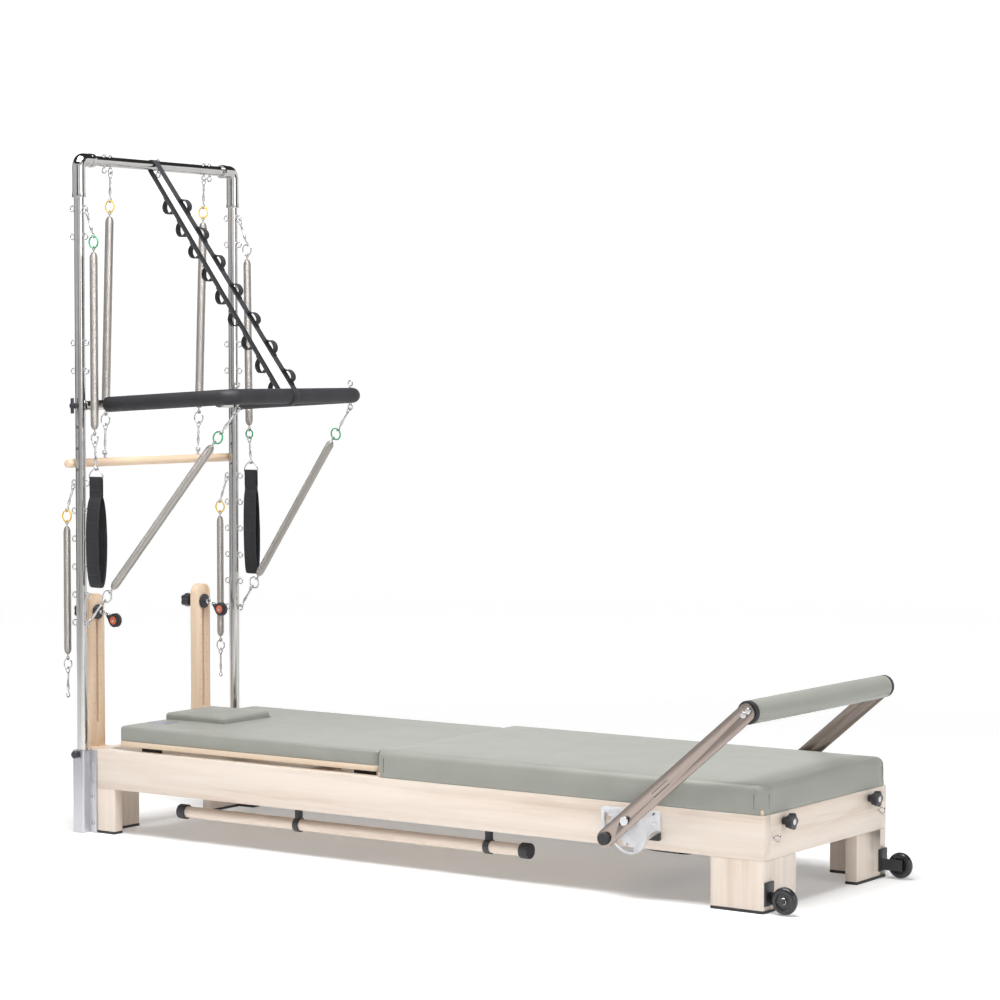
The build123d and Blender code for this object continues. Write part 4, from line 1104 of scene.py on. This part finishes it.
for sign, count, first in ((1, 9, 0.16), (-1, 7, 0.2)):
    for i in range(count):
        share = first + (0.94 - first) * i / (count - 1)
        reach = 0.019 + 0.008 * share
        away = outward * sign
        foot = high_at + run_down * (high_at - low_at).length * share + away * (reach + 0.0014)
        droop = Vector((0, 0, -0.004)) + run_down * 0.003 * math.sin(i * 2.1)
        loop_path = [foot - run_down * 0.031, foot - run_down * 0.0235]
        for k in range(13):
            a = math.pi * k / 12
            spot = foot - run_down * 0.0215 * math.cos(a) + away * 0.0235 * math.sin(a) ** 0.8
            loop_path.append(spot + droop * math.sin(a))
        loop_path += [foot + run_down * 0.0235, foot + run_down * 0.031]
        strap.sweep(loop_path, band(STRAP_W - 0.001, 0.002), nylon, side=Y_AXIS)
        for place in (-0.0285, 0.0285):
            for shift in (-0.0015, 0.0015):
                middle = foot + run_down * (place + shift) + away * 0.0012
                strap.wire(
                    [middle - Y_AXIS * 0.0095, middle, middle + Y_AXIS * 0.0095], 0.0005, thread, sides=6,
                )
strap.done("frame", ["ladder_strap"], "black_webbing", smooth=50)

# ---- Roll-down bar ----------------------------------------------------------------------------
# A maple dowel on two eyebolts, hung from the top bar by two springs with yellow top rings. It
# rests against the backs of the posts.

DOWEL_X, DOWEL_Z, DOWEL_R, DOWEL_HALF = -1.2296, 1.15, 0.014, 0.396
hang_z = TOP_Z - EYE_OUT - EYE_R
lean = math.atan2(POST.x - DOWEL_X, hang_z - DOWEL_Z)
pivot_z = hang_z + EYE_WIRE + SNAP_WIRE + GAP
swing = Matrix.Translation((POST.x, 0, pivot_z)) @ Matrix.Rotation(lean, 4, "Y") @ Matrix.Translation((-POST.x, 0, -pivot_z))
eye_z = DOWEL_Z + DOWEL_R + 0.008 + EYE_R
riser_maple = timber("oiled_maple_across", (0.76, 0.585, 0.43), (0.71, 0.53, 0.375), (0.61, 0.435, 0.29), 1)
dowel = Piece("roll_down_dowel", riser_maple)
shape = [(0, 0.010), (0.0012, 0.0127), (0.004, DOWEL_R)]
half = [(-DOWEL_HALF + d, r) for d, r in shape]
profile = half + [(-0.13, DOWEL_R), (0.13, DOWEL_R)] + [(-d, r) for d, r in half[::-1]]
centre = swing @ Vector((POST.x, 0, DOWEL_Z))
dowel.turned(centre, Y_AXIS, profile, riser_maple, 36)
dowel.done("roll_down", ["roll_down_bar"], "maple")
chain = Piece("roll_down_hooks", plated, coil_steel, yellow)
down = (swing.to_3x3() @ Vector((0, 0, -1))).normalized()
for y, name in ((-0.224, "near"), (0.224, "far")):
    at = Vector((POST.x, y, pivot_z))
    low = swing @ Vector((POST.x, y, eye_z - EYE_R + EYE_WIRE + SNAP_WIRE + GAP))
    full_chain(
        chain, f"roll_down_coil_{name}", at, down, Y_AXIS, down.cross(Y_AXIS), low, 0.014, yellow, plated,
        "roll_down",
    )
    eye = swing @ Vector((POST.x, y, eye_z))
    chain.wire(ring_path(eye, down, down.cross(Y_AXIS), EYE_R), EYE_WIRE, plated, closed=True)
    chain.turned(
        eye + down * (EYE_R - 0.001), down,
        [
            (0, 0.0025), (0.006, 0.0025), (0.006, 0.0055), (0.0085, 0.0055), (0.0085, 0.0025),
            (0.026, 0.0025),
        ],
        plated, 14,
    )
chain.done("roll_down", ["roll_down_springs"], "spring_steel")

# ---- Arm springs and hand loops ---------------------------------------------------------------
# Long springs on the front eyes of the posts. Each ends in a D ring with a webbing loop whose lower
# part is a padded sleeve, sewn across in channels.

DOWN = Vector((0, 0, -1))
LOOP_W, LOOP_T, LOOP_LENGTH = 0.05, 0.0026, 0.334


def slanted(offset, reach):
    """A near-vertical direction that moves sideways by offset over a length."""
    return Vector((offset, 0, -math.sqrt(reach**2 - offset**2))).normalized()


def padded_band(share):
    """The loop's section: thin webbing at the ring, a thick soft sleeve round the hand."""
    rise = min(1, max(0, (0.5 - abs(share - 0.5) - 0.2) / 0.03))
    thick = LOOP_T + 0.0052 * rise ** 0.5
    half_w = LOOP_W / 2
    count = 20
    points = []
    for k in range(count):
        a = 2 * math.pi * k / count
        c, s = math.cos(a), math.sin(a)
        points.append(
            (
                half_w * math.copysign(abs(c) ** 0.35, c),
                thick / 2 * math.copysign(abs(s) ** (0.7 if rise else 0.3), s),
            )
        )
    return points


def hand_loop(name, centre, bulge, body, node, place):
    """Webbing folded over the D ring's bar and sewn below it, opening into a padded loop."""
    wrap = 0.0023 + GAP + LOOP_T / 2
    middle_z = centre.z - 0.06 - (LOOP_LENGTH - 0.06) / 2
    tall, wide = (LOOP_LENGTH - 0.052) / 2 - LOOP_T / 2, bulge - LOOP_T / 2
    points = []
    for k in range(9):
        a = math.pi * k / 8
        points.append((wrap * math.cos(a), centre.z + wrap * math.sin(a)))
    points += [(-wrap, centre.z - z) for z in (0.012, 0.024, 0.036, 0.046)]
    for k in range(57):
        a = math.radians(100 + 340 * k / 56)
        points.append((wide * math.cos(a), middle_z + tall * math.sin(a)))
    points += [(wrap, centre.z - z) for z in (0.046, 0.036, 0.024, 0.012)]
    for _ in range(2):
        count = len(points)
        smooth = []
        for k in range(count):
            (ax, az), (bx, bz), (cx, cz) = points[k - 1], points[k], points[(k + 1) % count]
            smooth.append(((ax + 2 * bx + cx) / 4, (az + 2 * bz + cz) / 4))
        points = points[:14] + smooth[14:-6] + points[-6:]
    path = [Vector((centre.x, centre.y + y, z)) for y, z in points]
    made = Piece(name, nylon, thread)
    made.sweep(path, padded_band, nylon, side=X_AXIS, closed=True)
    for depth in (0.014, 0.018, 0.034, 0.038):
        z = centre.z - depth
        for face in (-1, 1):
            y = centre.y + face * (wrap + LOOP_T / 2)
            made.wire(
                [
                    Vector((centre.x - 0.02, y, z)), Vector((centre.x, y, z)),
                    Vector((centre.x + 0.02, y, z)),
                ],
                0.0006, thread, sides=6,
            )
    for k in range(18, len(path) - 10):
        share = k / (len(path) - 1)
        if (k - 18) % 4 or not 0.24 < share < 0.76:
            continue
        tangent = (path[k + 1] - path[k - 1]).normalized()
        normal = X_AXIS.cross(tangent)
        for face in (-1, 1):
            at = path[k] + normal * face * (LOOP_T + 0.0050) / 2
            made.wire([at - X_AXIS * 0.019, at, at + X_AXIS * 0.019], 0.0005, thread, sides=6)
    made.mesh.transform(place)
    made.done(body, [node], "black_webbing", smooth=60)


def hanging_chain(chain, name, eye, inward, coil_length, outer, top_finish, body, place):
    """The upper part shared by arm and leg springs: a slanted hook, ring, coil and ring."""
    at = eye + DOWN * hang
    clear = EYE_R + EYE_WIRE + RING_R + RING_WIRE + 0.0006
    slant = slanted(inward * clear, SNAP_LENGTH - 0.004)
    end = snap_hook(chain, at, slant, Y_AXIS)
    end = link(chain, below(end, slant, SNAP_WIRE, RING_WIRE), DOWN, X_AXIS, RING_R, top_finish)
    end = eye_and_coil(
        chain, name, below(end, DOWN, RING_WIRE, COIL_WIRE), DOWN, Y_AXIS, coil_length, outer, body, place,
    )
    return below(end, DOWN, COIL_WIRE, RING_WIRE)


DEE_R, DEE_WIRE = 0.029, 0.0023
for name, side, tilt, bulge in (("near", -1, 0.0, 0.022), ("far", 1, 0.8, 0.013)):
    eye = Vector((POST.x + EYE_OUT, side * POST.y, EYE_HEIGHTS[-1]))
    place = Matrix.Translation(eye) @ Matrix.Rotation(math.radians(tilt), 4, "X") @ Matrix.Translation(-eye)
    body = f"arm_{name}"
    chain = Piece(f"arm_spring_hooks_{name}", plated, coil_steel, green)
    top_ring = green if name == "near" else plated
    low_ring = plated if name == "near" else green
    end = hanging_chain(chain, f"arm_spring_coil_{name}", eye, 1, 0.543, 0.013, top_ring, body, place)
    end = link(chain, end, DOWN, X_AXIS, RING_R - 0.004, low_ring)
    at = below(end, DOWN, RING_WIRE, SNAP_WIRE)
    slant = slanted(eye.x + EYE_R + EYE_WIRE + 0.026 - at.x, 0.086)
    end = snap_hook(chain, at, slant, Y_AXIS, 0.09)
    at = below(end, slant, SNAP_WIRE, DEE_WIRE)
    centre = at + DOWN * DEE_R
    straight = [centre + X_AXIS * DEE_R * (k / 5 - 1) for k in range(1, 10)]
    chain.wire(
        straight + ring_path(centre, X_AXIS, Z_AXIS, DEE_R, 0, 180, 28), DEE_WIRE, plated, closed=True,
    )
    chain.mesh.transform(place)
    chain.done(body, [f"arm_spring_{name}"], "spring_steel")
    hand_loop(f"padded_hand_loop_{name}", centre, bulge, body, f"hand_loop_{name}", place)

# ---- Leg springs ------------------------------------------------------------------------------
# Shorter springs on the back eyes of the posts, with yellow top rings and a free snap hook below.

for name, side in (("near", -1), ("far", 1)):
    eye = Vector((POST.x - EYE_OUT, side * POST.y, EYE_HEIGHTS[5]))
    chain = Piece(f"leg_spring_hooks_{name}", plated, coil_steel, yellow)
    end = hanging_chain(
        chain, f"leg_spring_coil_{name}", eye, -1, 0.397, 0.012, yellow, f"leg_{name}", Matrix.Identity(4),
    )
    end = link(chain, end, DOWN, X_AXIS, RING_R - 0.002, plated)
    snap_hook(chain, below(end, DOWN, RING_WIRE, SNAP_WIRE), DOWN, Y_AXIS)
    chain.done(f"leg_{name}", [f"leg_spring_{name}"], "spring_steel")

# ---- Risers and pulleys -----------------------------------------------------------------------
# Oiled maple uprights with a long slot and height marks. A knob clamps each pulley's sliding
# flange, and the pulley hangs forward on a stiff little coil.

oiled_upright = timber(
    "oiled_maple_upright", (0.76, 0.585, 0.43), (0.71, 0.53, 0.375), (0.61, 0.435, 0.29), 2,
)
eased("slotted_risers", "risers", "frame", oiled_upright, 0.002)

mark_tree, given, add, finish = tree("height_marks", Size="Vector", Finish="Material")
bar = add("MeshCube", Size=given["Size"])
finish(add("InstanceOnPoints", Points=given["Geometry"], Instance=bar.outputs[0]).outputs[0])
RISER_X, RISER_Y = -1.236, 0.256
mark_ink = moulded("burnt_mark", (0.20, 0.115, 0.06), 0.6)
spots = [
    (RISER_X, side * RISER_Y + across, 0.36 + 0.03 * k)
    for side in (-1, 1) for across in (-0.0145, 0.0145) for k in range(12)
]
marks = grown("riser_height_marks", mark_tree, spots, Size=(0.0004, 0.006, 0.0009), Finish=mark_ink)
shown(marks, "frame", [])

PULLEY_Z, RISER_T = 0.68, 0.028
accent = moulded("accent_disc", (0.62, 0.11, 0.04), 0.35)


def star_ring(centre, first, second, radius, dip):
    """Points round a five-lobed knob."""
    turns = [2 * math.pi * k / 60 for k in range(60)]
    return [
        centre + (first * math.cos(a) + second * math.sin(a)) * (radius - dip + dip * math.cos(5 * a))
        for a in turns
    ]


def star_knob(made, back, axis, thick, hub):
    """A moulded five-lobed knob with a pressed metal cap, growing along an axis from its hub."""
    first = Y_AXIS if abs(axis.y) < 0.5 else X_AXIS
    second = axis.cross(first)
    layers = [
        (0, 0.0195), (0.0015, 0.0218), (thick - 0.004, 0.0236), (thick - 0.001, 0.0222), (thick, 0.019),
    ]
    made.skin(
        [star_ring(back + axis * (hub + d), first, second, r, 0.0022) for d, r in layers], black_plastic,
    )
    made.turned(back, axis, [(0, 0.0105), (hub + 0.001, 0.0115)], black_plastic, 28)
    made.turned(
        back + axis * (hub + thick - 0.0005), axis,
        [(-0.002, 0.0085), (0.0007, 0.0085), (0.001, 0.0078), (0.001, 0)], plated, 24,
    )


for name, side in (("near", -1), ("far", 1)):
    at = Vector((RISER_X, side * RISER_Y, PULLEY_Z))
    back = RISER_X - RISER_T
    made = Piece(f"pulley_clamp_{name}", black_plastic, plated)
    made.turned(
        at, X_AXIS,
        [
            (0.0003, 0), (0.0003, 0.022), (0.0013, 0.023), (0.0065, 0.023), (0.008, 0.0215), (0.008, 0.006),
            (0.0085, 0),
        ],
        black_plastic, 40,
    )
    made.turned(at, X_AXIS, [(-0.05, 0.0048), (0.0145, 0.0048), (0.0152, 0.004), (0.0152, 0)], plated, 20)
    made.wire(ring_path(at + X_AXIS * 0.022, X_AXIS, Z_AXIS, 0.008), 0.0025, plated, closed=True)
    star_knob(made, Vector((back - 0.0003, at.y, at.z)), -X_AXIS, -1.317 * -1 - 0.022 + back, 0.0217)
    made.done(f"pulley_slide_{name}", [f"pulley_slide_{name}"], "black_plastic")
    hinge = Vector((RISER_X + 0.022 + 0.008 - 0.0025 - 0.002 - GAP, at.y, at.z))
    out = Vector((math.cos(math.radians(25)), 0, -math.sin(math.radians(25))))
    up = out.cross(Y_AXIS)
    made = Piece(f"pulley_wheel_{name}", black_plastic, plated, accent)
    made.wire(ring_path(hinge + out * 0.008, out, Y_AXIS, 0.008), 0.002, plated, closed=True)
    made.turned(
        hinge + out * 0.0165, out,
        [
            (0, 0.003), (0, 0.0058), (0.0025, 0.0058), (0.0025, 0.0035), (0.013, 0.0035), (0.013, 0.006),
            (0.016, 0.006), (0.016, 0.003),
        ],
        plated, 20,
    )
    swivel = [
        hinge + out * (0.0185 + 0.0115 * k / 90) + (
            Y_AXIS * math.cos(k * math.pi / 10) + up * math.sin(k * math.pi / 10)
        ) * 0.0056
        for k in range(91)
    ]
    made.wire(swivel, 0.0011, plated, sides=6)
    hub = hinge + out * 0.056
    for face in (-1, 1):
        plate = []
        for k in range(40):
            a = 2 * math.pi * k / 40
            reach = 0.0192 + 0.0075 * max(0, math.cos(a)) ** 6
            plate.append((-math.cos(a) * reach, math.sin(a) * 0.0192))
        layers = [(0.0075, 0.97), (0.0078, 1.0), (0.0098, 1.0), (0.0106, 0.95)]
        made.skin(
            [[hub + out * u * s + up * v * s + Y_AXIS * face * d for u, v in plate] for d, s in layers],
            black_plastic,
        )
        made.turned(
            hub + Y_AXIS * face * 0.0103, Y_AXIS * face,
            [(0, 0.0125), (0.0008, 0.0125), (0.0011, 0.012), (0.0011, 0)], accent, 32,
        )
        made.turned(
            hub + Y_AXIS * face * 0.011, Y_AXIS * face,
            [(0, 0.0048), (0.0014, 0.0046), (0.002, 0.0036), (0.002, 0)], plated, 20,
        )
    made.turned(
        hinge + out * 0.031, Y_AXIS,
        [(-0.0104, 0), (-0.0104, 0.0052), (-0.0095, 0.006), (0.0095, 0.006), (0.0104, 0.0052), (0.0104, 0)],
        black_plastic, 24,
    )
    made.turned(
        hub, Y_AXIS,
        [
            (-0.0072, 0.004), (-0.0072, 0.0215), (-0.006, 0.022), (-0.0045, 0.0208), (-0.002, 0.0195),
            (0.002, 0.0195), (0.0045, 0.0208), (0.006, 0.022), (0.0072, 0.0215), (0.0072, 0.004),
        ],
        black_plastic, 44,
    )
    made.done(f"pulley_{name}", [f"pulley_block_{name}"], "black_plastic")

# ---- Foot-end fittings ------------------------------------------------------------------------
# Star knobs clamp the mat, skate wheels on black brackets roll the frame when it is tipped, and a
# wide webbing strap hangs under the rails.

FOOT_X = 1.226
wheel_urethane = moulded("wheel_urethane", (0.018, 0.018, 0.02), 0.22)
for name, side in (("near", -1), ("far", 1)):
    at = Vector((FOOT_X, side * 0.246, 0.237))
    made = Piece(f"mat_clamp_knob_{name}", black_plastic, plated)
    made.turned(at, X_AXIS, [(-0.0395, 0), (-0.0395, 0.0048), (0.006, 0.0048), (0.006, 0)], plated, 18)
    star_knob(made, at + X_AXIS * 0.0003, X_AXIS, 0.0195, 0.0137)
    made.done(f"mat_knob_{name}", [f"mat_knob_{name}"], "black_plastic")
    made = Piece(f"post_clamp_knob_{name}", black_plastic, plated)
    out = Y_AXIS * side
    hub = Vector((POST.x, side * 0.368, 0.246))
    made.turned(hub, out, [(0.0172, 0), (0.0172, 0.0039), (0.025, 0.0039), (0.025, 0)], plated, 16)
    made.turned(
        hub, out,
        [
            (0.0234, 0.008), (0.026, 0.0102), (0.028, 0.0115), (0.0385, 0.012), (0.0405, 0.0105),
            (0.041, 0.008), (0.041, 0),
        ],
        black_plastic, 36,
    )
    made.done(f"bracket_knob_{name}", [f"bracket_knob_{name}"], "black_plastic")
    axle = Vector((1.28, side * 0.335, 0.039))
    made = Piece(f"skate_wheel_{name}", wheel_urethane, black_plastic, plated)
    tyre = [
        (-0.0065, 0.0215), (-0.0105, 0.0225), (-0.012, 0.026), (-0.0112, 0.031), (-0.008, 0.035),
        (-0.0035, 0.0368), (0, 0.037), (0.0035, 0.0368), (0.008, 0.035), (0.0112, 0.031), (0.012, 0.026),
        (0.0105, 0.0225), (0.0065, 0.0215),
    ]
    made.turned(axle, Y_AXIS, tyre, wheel_urethane, 56)
    rim = [
        (-0.0055, 0.0105), (-0.0055, 0.0214), (-0.0085, 0.0222), (-0.0085, 0.0208), (-0.004, 0.0195),
        (-0.004, 0.012),
    ]
    made.turned(axle, Y_AXIS, rim + [(0.0055, 0.0214), (0.0055, 0.0105)], black_plastic, 40)
    for k in range(6):
        a = math.radians(60 * k + 15)
        spoke = X_AXIS * math.cos(a) + Z_AXIS * math.sin(a)
        made.wire([axle + spoke * 0.008, axle + spoke * 0.0205], 0.0032, black_plastic, sides=10)
    made.turned(
        axle, Y_AXIS,
        [
            (-0.0115, 0.0042), (-0.0115, 0.0088), (-0.0105, 0.0098), (0.0105, 0.0098), (0.0115, 0.0088),
            (0.0115, 0.0042),
        ],
        plated, 28,
    )
    made.done(f"wheel_{name}", [f"transport_wheel_{name}"], "wheel_black")
eased("wheel_angle_brackets", "wheel_brackets", "frame", black_coat, 0.0008)
eased("frame_hooks_and_screws", "frame_screws", "frame", plated, 0.0006)

inner = 0.317
knots = [
    Vector((0.76, y, z))
    for y, z in ((-inner + 0.003, 0.17), (-0.19, 0.116), (0, 0.074), (0.19, 0.116), (inner - 0.003, 0.17))
]
route = []
for i in range(len(knots) - 1):
    a, b = knots[i], knots[i + 1]
    before, after = knots[max(0, i - 1)], knots[min(len(knots) - 1, i + 2)]
    for k in range(12):
        t = k / 12
        route.append(
            0.5 * (
                (2 * a) + (b - before) * t + (
                    2 * before - 5 * a + 4 * b - after
                ) * t**2 + (3 * a - before - 3 * b + after) * t**3
            )
        )
route.append(knots[-1])
strap = Piece("foot_strap_webbing", nylon, thread)
strap.sweep(route, band(0.08, 0.003), nylon, side=X_AXIS)
strap.done("frame", ["foot_strap"], "black_webbing", smooth=50)

# ---- Storage pole -----------------------------------------------------------------------------
# A maple exercise pole in two black snap clips under the near rail, with rubber end caps.

eased("exercise_pole", "storage_pole", "pole", maple_x, 0.001)
eased("pole_end_caps", "storage_pole_caps", "pole", rubber, 0.002)
eased("pole_snap_clips", "pole_clips", "frame", black_plastic, 0.0008)

# ---- Studio -----------------------------------------------------------------------------------
# A pale bowl of floor and wall that glows with painted light, four large soft lights and the camera.

studio, shader, add, link_nodes = material("studio_paper")
tone = add("TexNoise", Scale=0.6, Detail=2.0)
where = placed(add, link_nodes, (1, 1, 1))
link_nodes(where, tone.inputs["Vector"])
link_nodes(
    graded(add, link_nodes, tone.outputs["Fac"], [(0.3, (0.83, 0.83, 0.83)), (0.7, (0.85, 0.85, 0.85))]),
    shader.inputs["Base Color"],
)
shader.inputs["Roughness"].default_value = 0.8
# Painted light: the paper glows white. The glow is dim near the reformer, brighter far off and dimmer on the front
# side.
shader.inputs["Emission Color"].default_value = (1, 1, 1, 1)
distance = add("VectorMath", operation="LENGTH")
link_nodes(where, distance.inputs[0])
painted_glow = add("MapRange", From_Min=2.2, From_Max=5.5, To_Min=0.2, To_Max=0.62)
link_nodes(distance.outputs["Value"], painted_glow.inputs["Value"])
axes = add("SeparateXYZ")
link_nodes(where, axes.inputs["Vector"])
front_glow_dimming = add("MapRange", From_Min=-6.0, From_Max=-1.0, To_Min=0.36, To_Max=0.62)
link_nodes(axes.outputs["Y"], front_glow_dimming.inputs["Value"])
link_nodes(front_glow_dimming.outputs["Result"], painted_glow.inputs["To Max"])
link_nodes(painted_glow.outputs["Result"], shader.inputs["Emission Strength"])
bowl = Piece("studio_bowl", studio)
profile = [(0.0, r) for r in (0.002, 0.6, 2.0, 4.0, 7.0, 10.0, 14.0)]
for k in range(1, 13):
    a = math.pi / 2 * k / 12
    profile.append((4 - 4 * math.cos(a), 14 + 4 * math.sin(a)))
profile.append((9.0, 18.0))
rings = []
for z, radius in profile:
    rings.append(
        [
            Vector((math.cos(2 * math.pi * k / 96) * radius, math.sin(2 * math.pi * k / 96) * radius, z))
            for k in range(96)
        ]
    )
bowl.skin(rings, studio, capped=False)
bmesh.ops.reverse_faces(bowl.mesh, faces=bowl.mesh.faces)
mesh = bpy.data.meshes.new("studio_bowl")
bowl.mesh.to_mesh(mesh)
mesh.materials.append(studio)
mesh.polygons.foreach_set("use_smooth", [True] * len(mesh.polygons))
room = bpy.data.objects.new("studio_bowl", mesh)
bpy.context.scene.collection.objects.link(room)

world = bpy.data.worlds.new("studio_air")
world.use_nodes = True
world.node_tree.nodes["Background"].inputs["Color"].default_value = (1.0, 1.0, 1.0, 1)
world.node_tree.nodes["Background"].inputs["Strength"].default_value = 0.05
bpy.context.scene.world = world


def soft_light(name, place, aim, size, power):
    lamp = bpy.data.lights.new(name, "AREA")
    lamp.shape, lamp.size, lamp.size_y = "RECTANGLE", *size
    lamp.energy = power
    made = bpy.data.objects.new(name, lamp)
    bpy.context.scene.collection.objects.link(made)
    made.location = place
    made.rotation_euler = (Vector(aim) - Vector(place)).to_track_quat("-Z", "Y").to_euler()


def dark_card(name, low, high):
    """A black card, unseen itself, that gives polished metal something dark to mirror."""
    made = block(low, high)
    made.name = name
    made.data.materials.append(rubber)
    made.visible_camera = False


dark_card("card_left", (-5.6, -3.0, 0.4), (-5.58, -0.6, 4.2))
dark_card("card_right", (4.2, 1.6, 0.4), (4.22, 4.6, 4.2))
dark_card("card_front", (0.4, -8.9, 0.6), (3.2, -8.88, 4.4))
soft_light("overhead", (0.3, -1.2, 4.6), (0, 0, 0.4), (4.0, 2.6), 360)
soft_light("front", (3.6, -5.2, 2.6), (0, 0, 0.8), (2.4, 2.0), 7)
soft_light("foot_side", (6.4, -1.0, 2.2), (1.0, 0, 0.4), (2.0, 2.0), 66)
soft_light("side", (-5.0, -2.2, 2.8), (-0.5, 0, 0.8), (1.6, 2.8), 6)

lens = bpy.data.cameras.new("camera")
lens.lens, lens.sensor_width = 104.586, 36.0
lens.clip_end = 60
camera = bpy.data.objects.new("camera", lens)
bpy.context.scene.collection.objects.link(camera)
camera.location = (5.00824, -7.0329, 1.45558)
camera.rotation_euler = (math.radians(90 - 2.658), 0, math.radians(34.742))
bpy.context.scene.camera = camera
bpy.context.scene.view_settings.view_transform = "Standard"
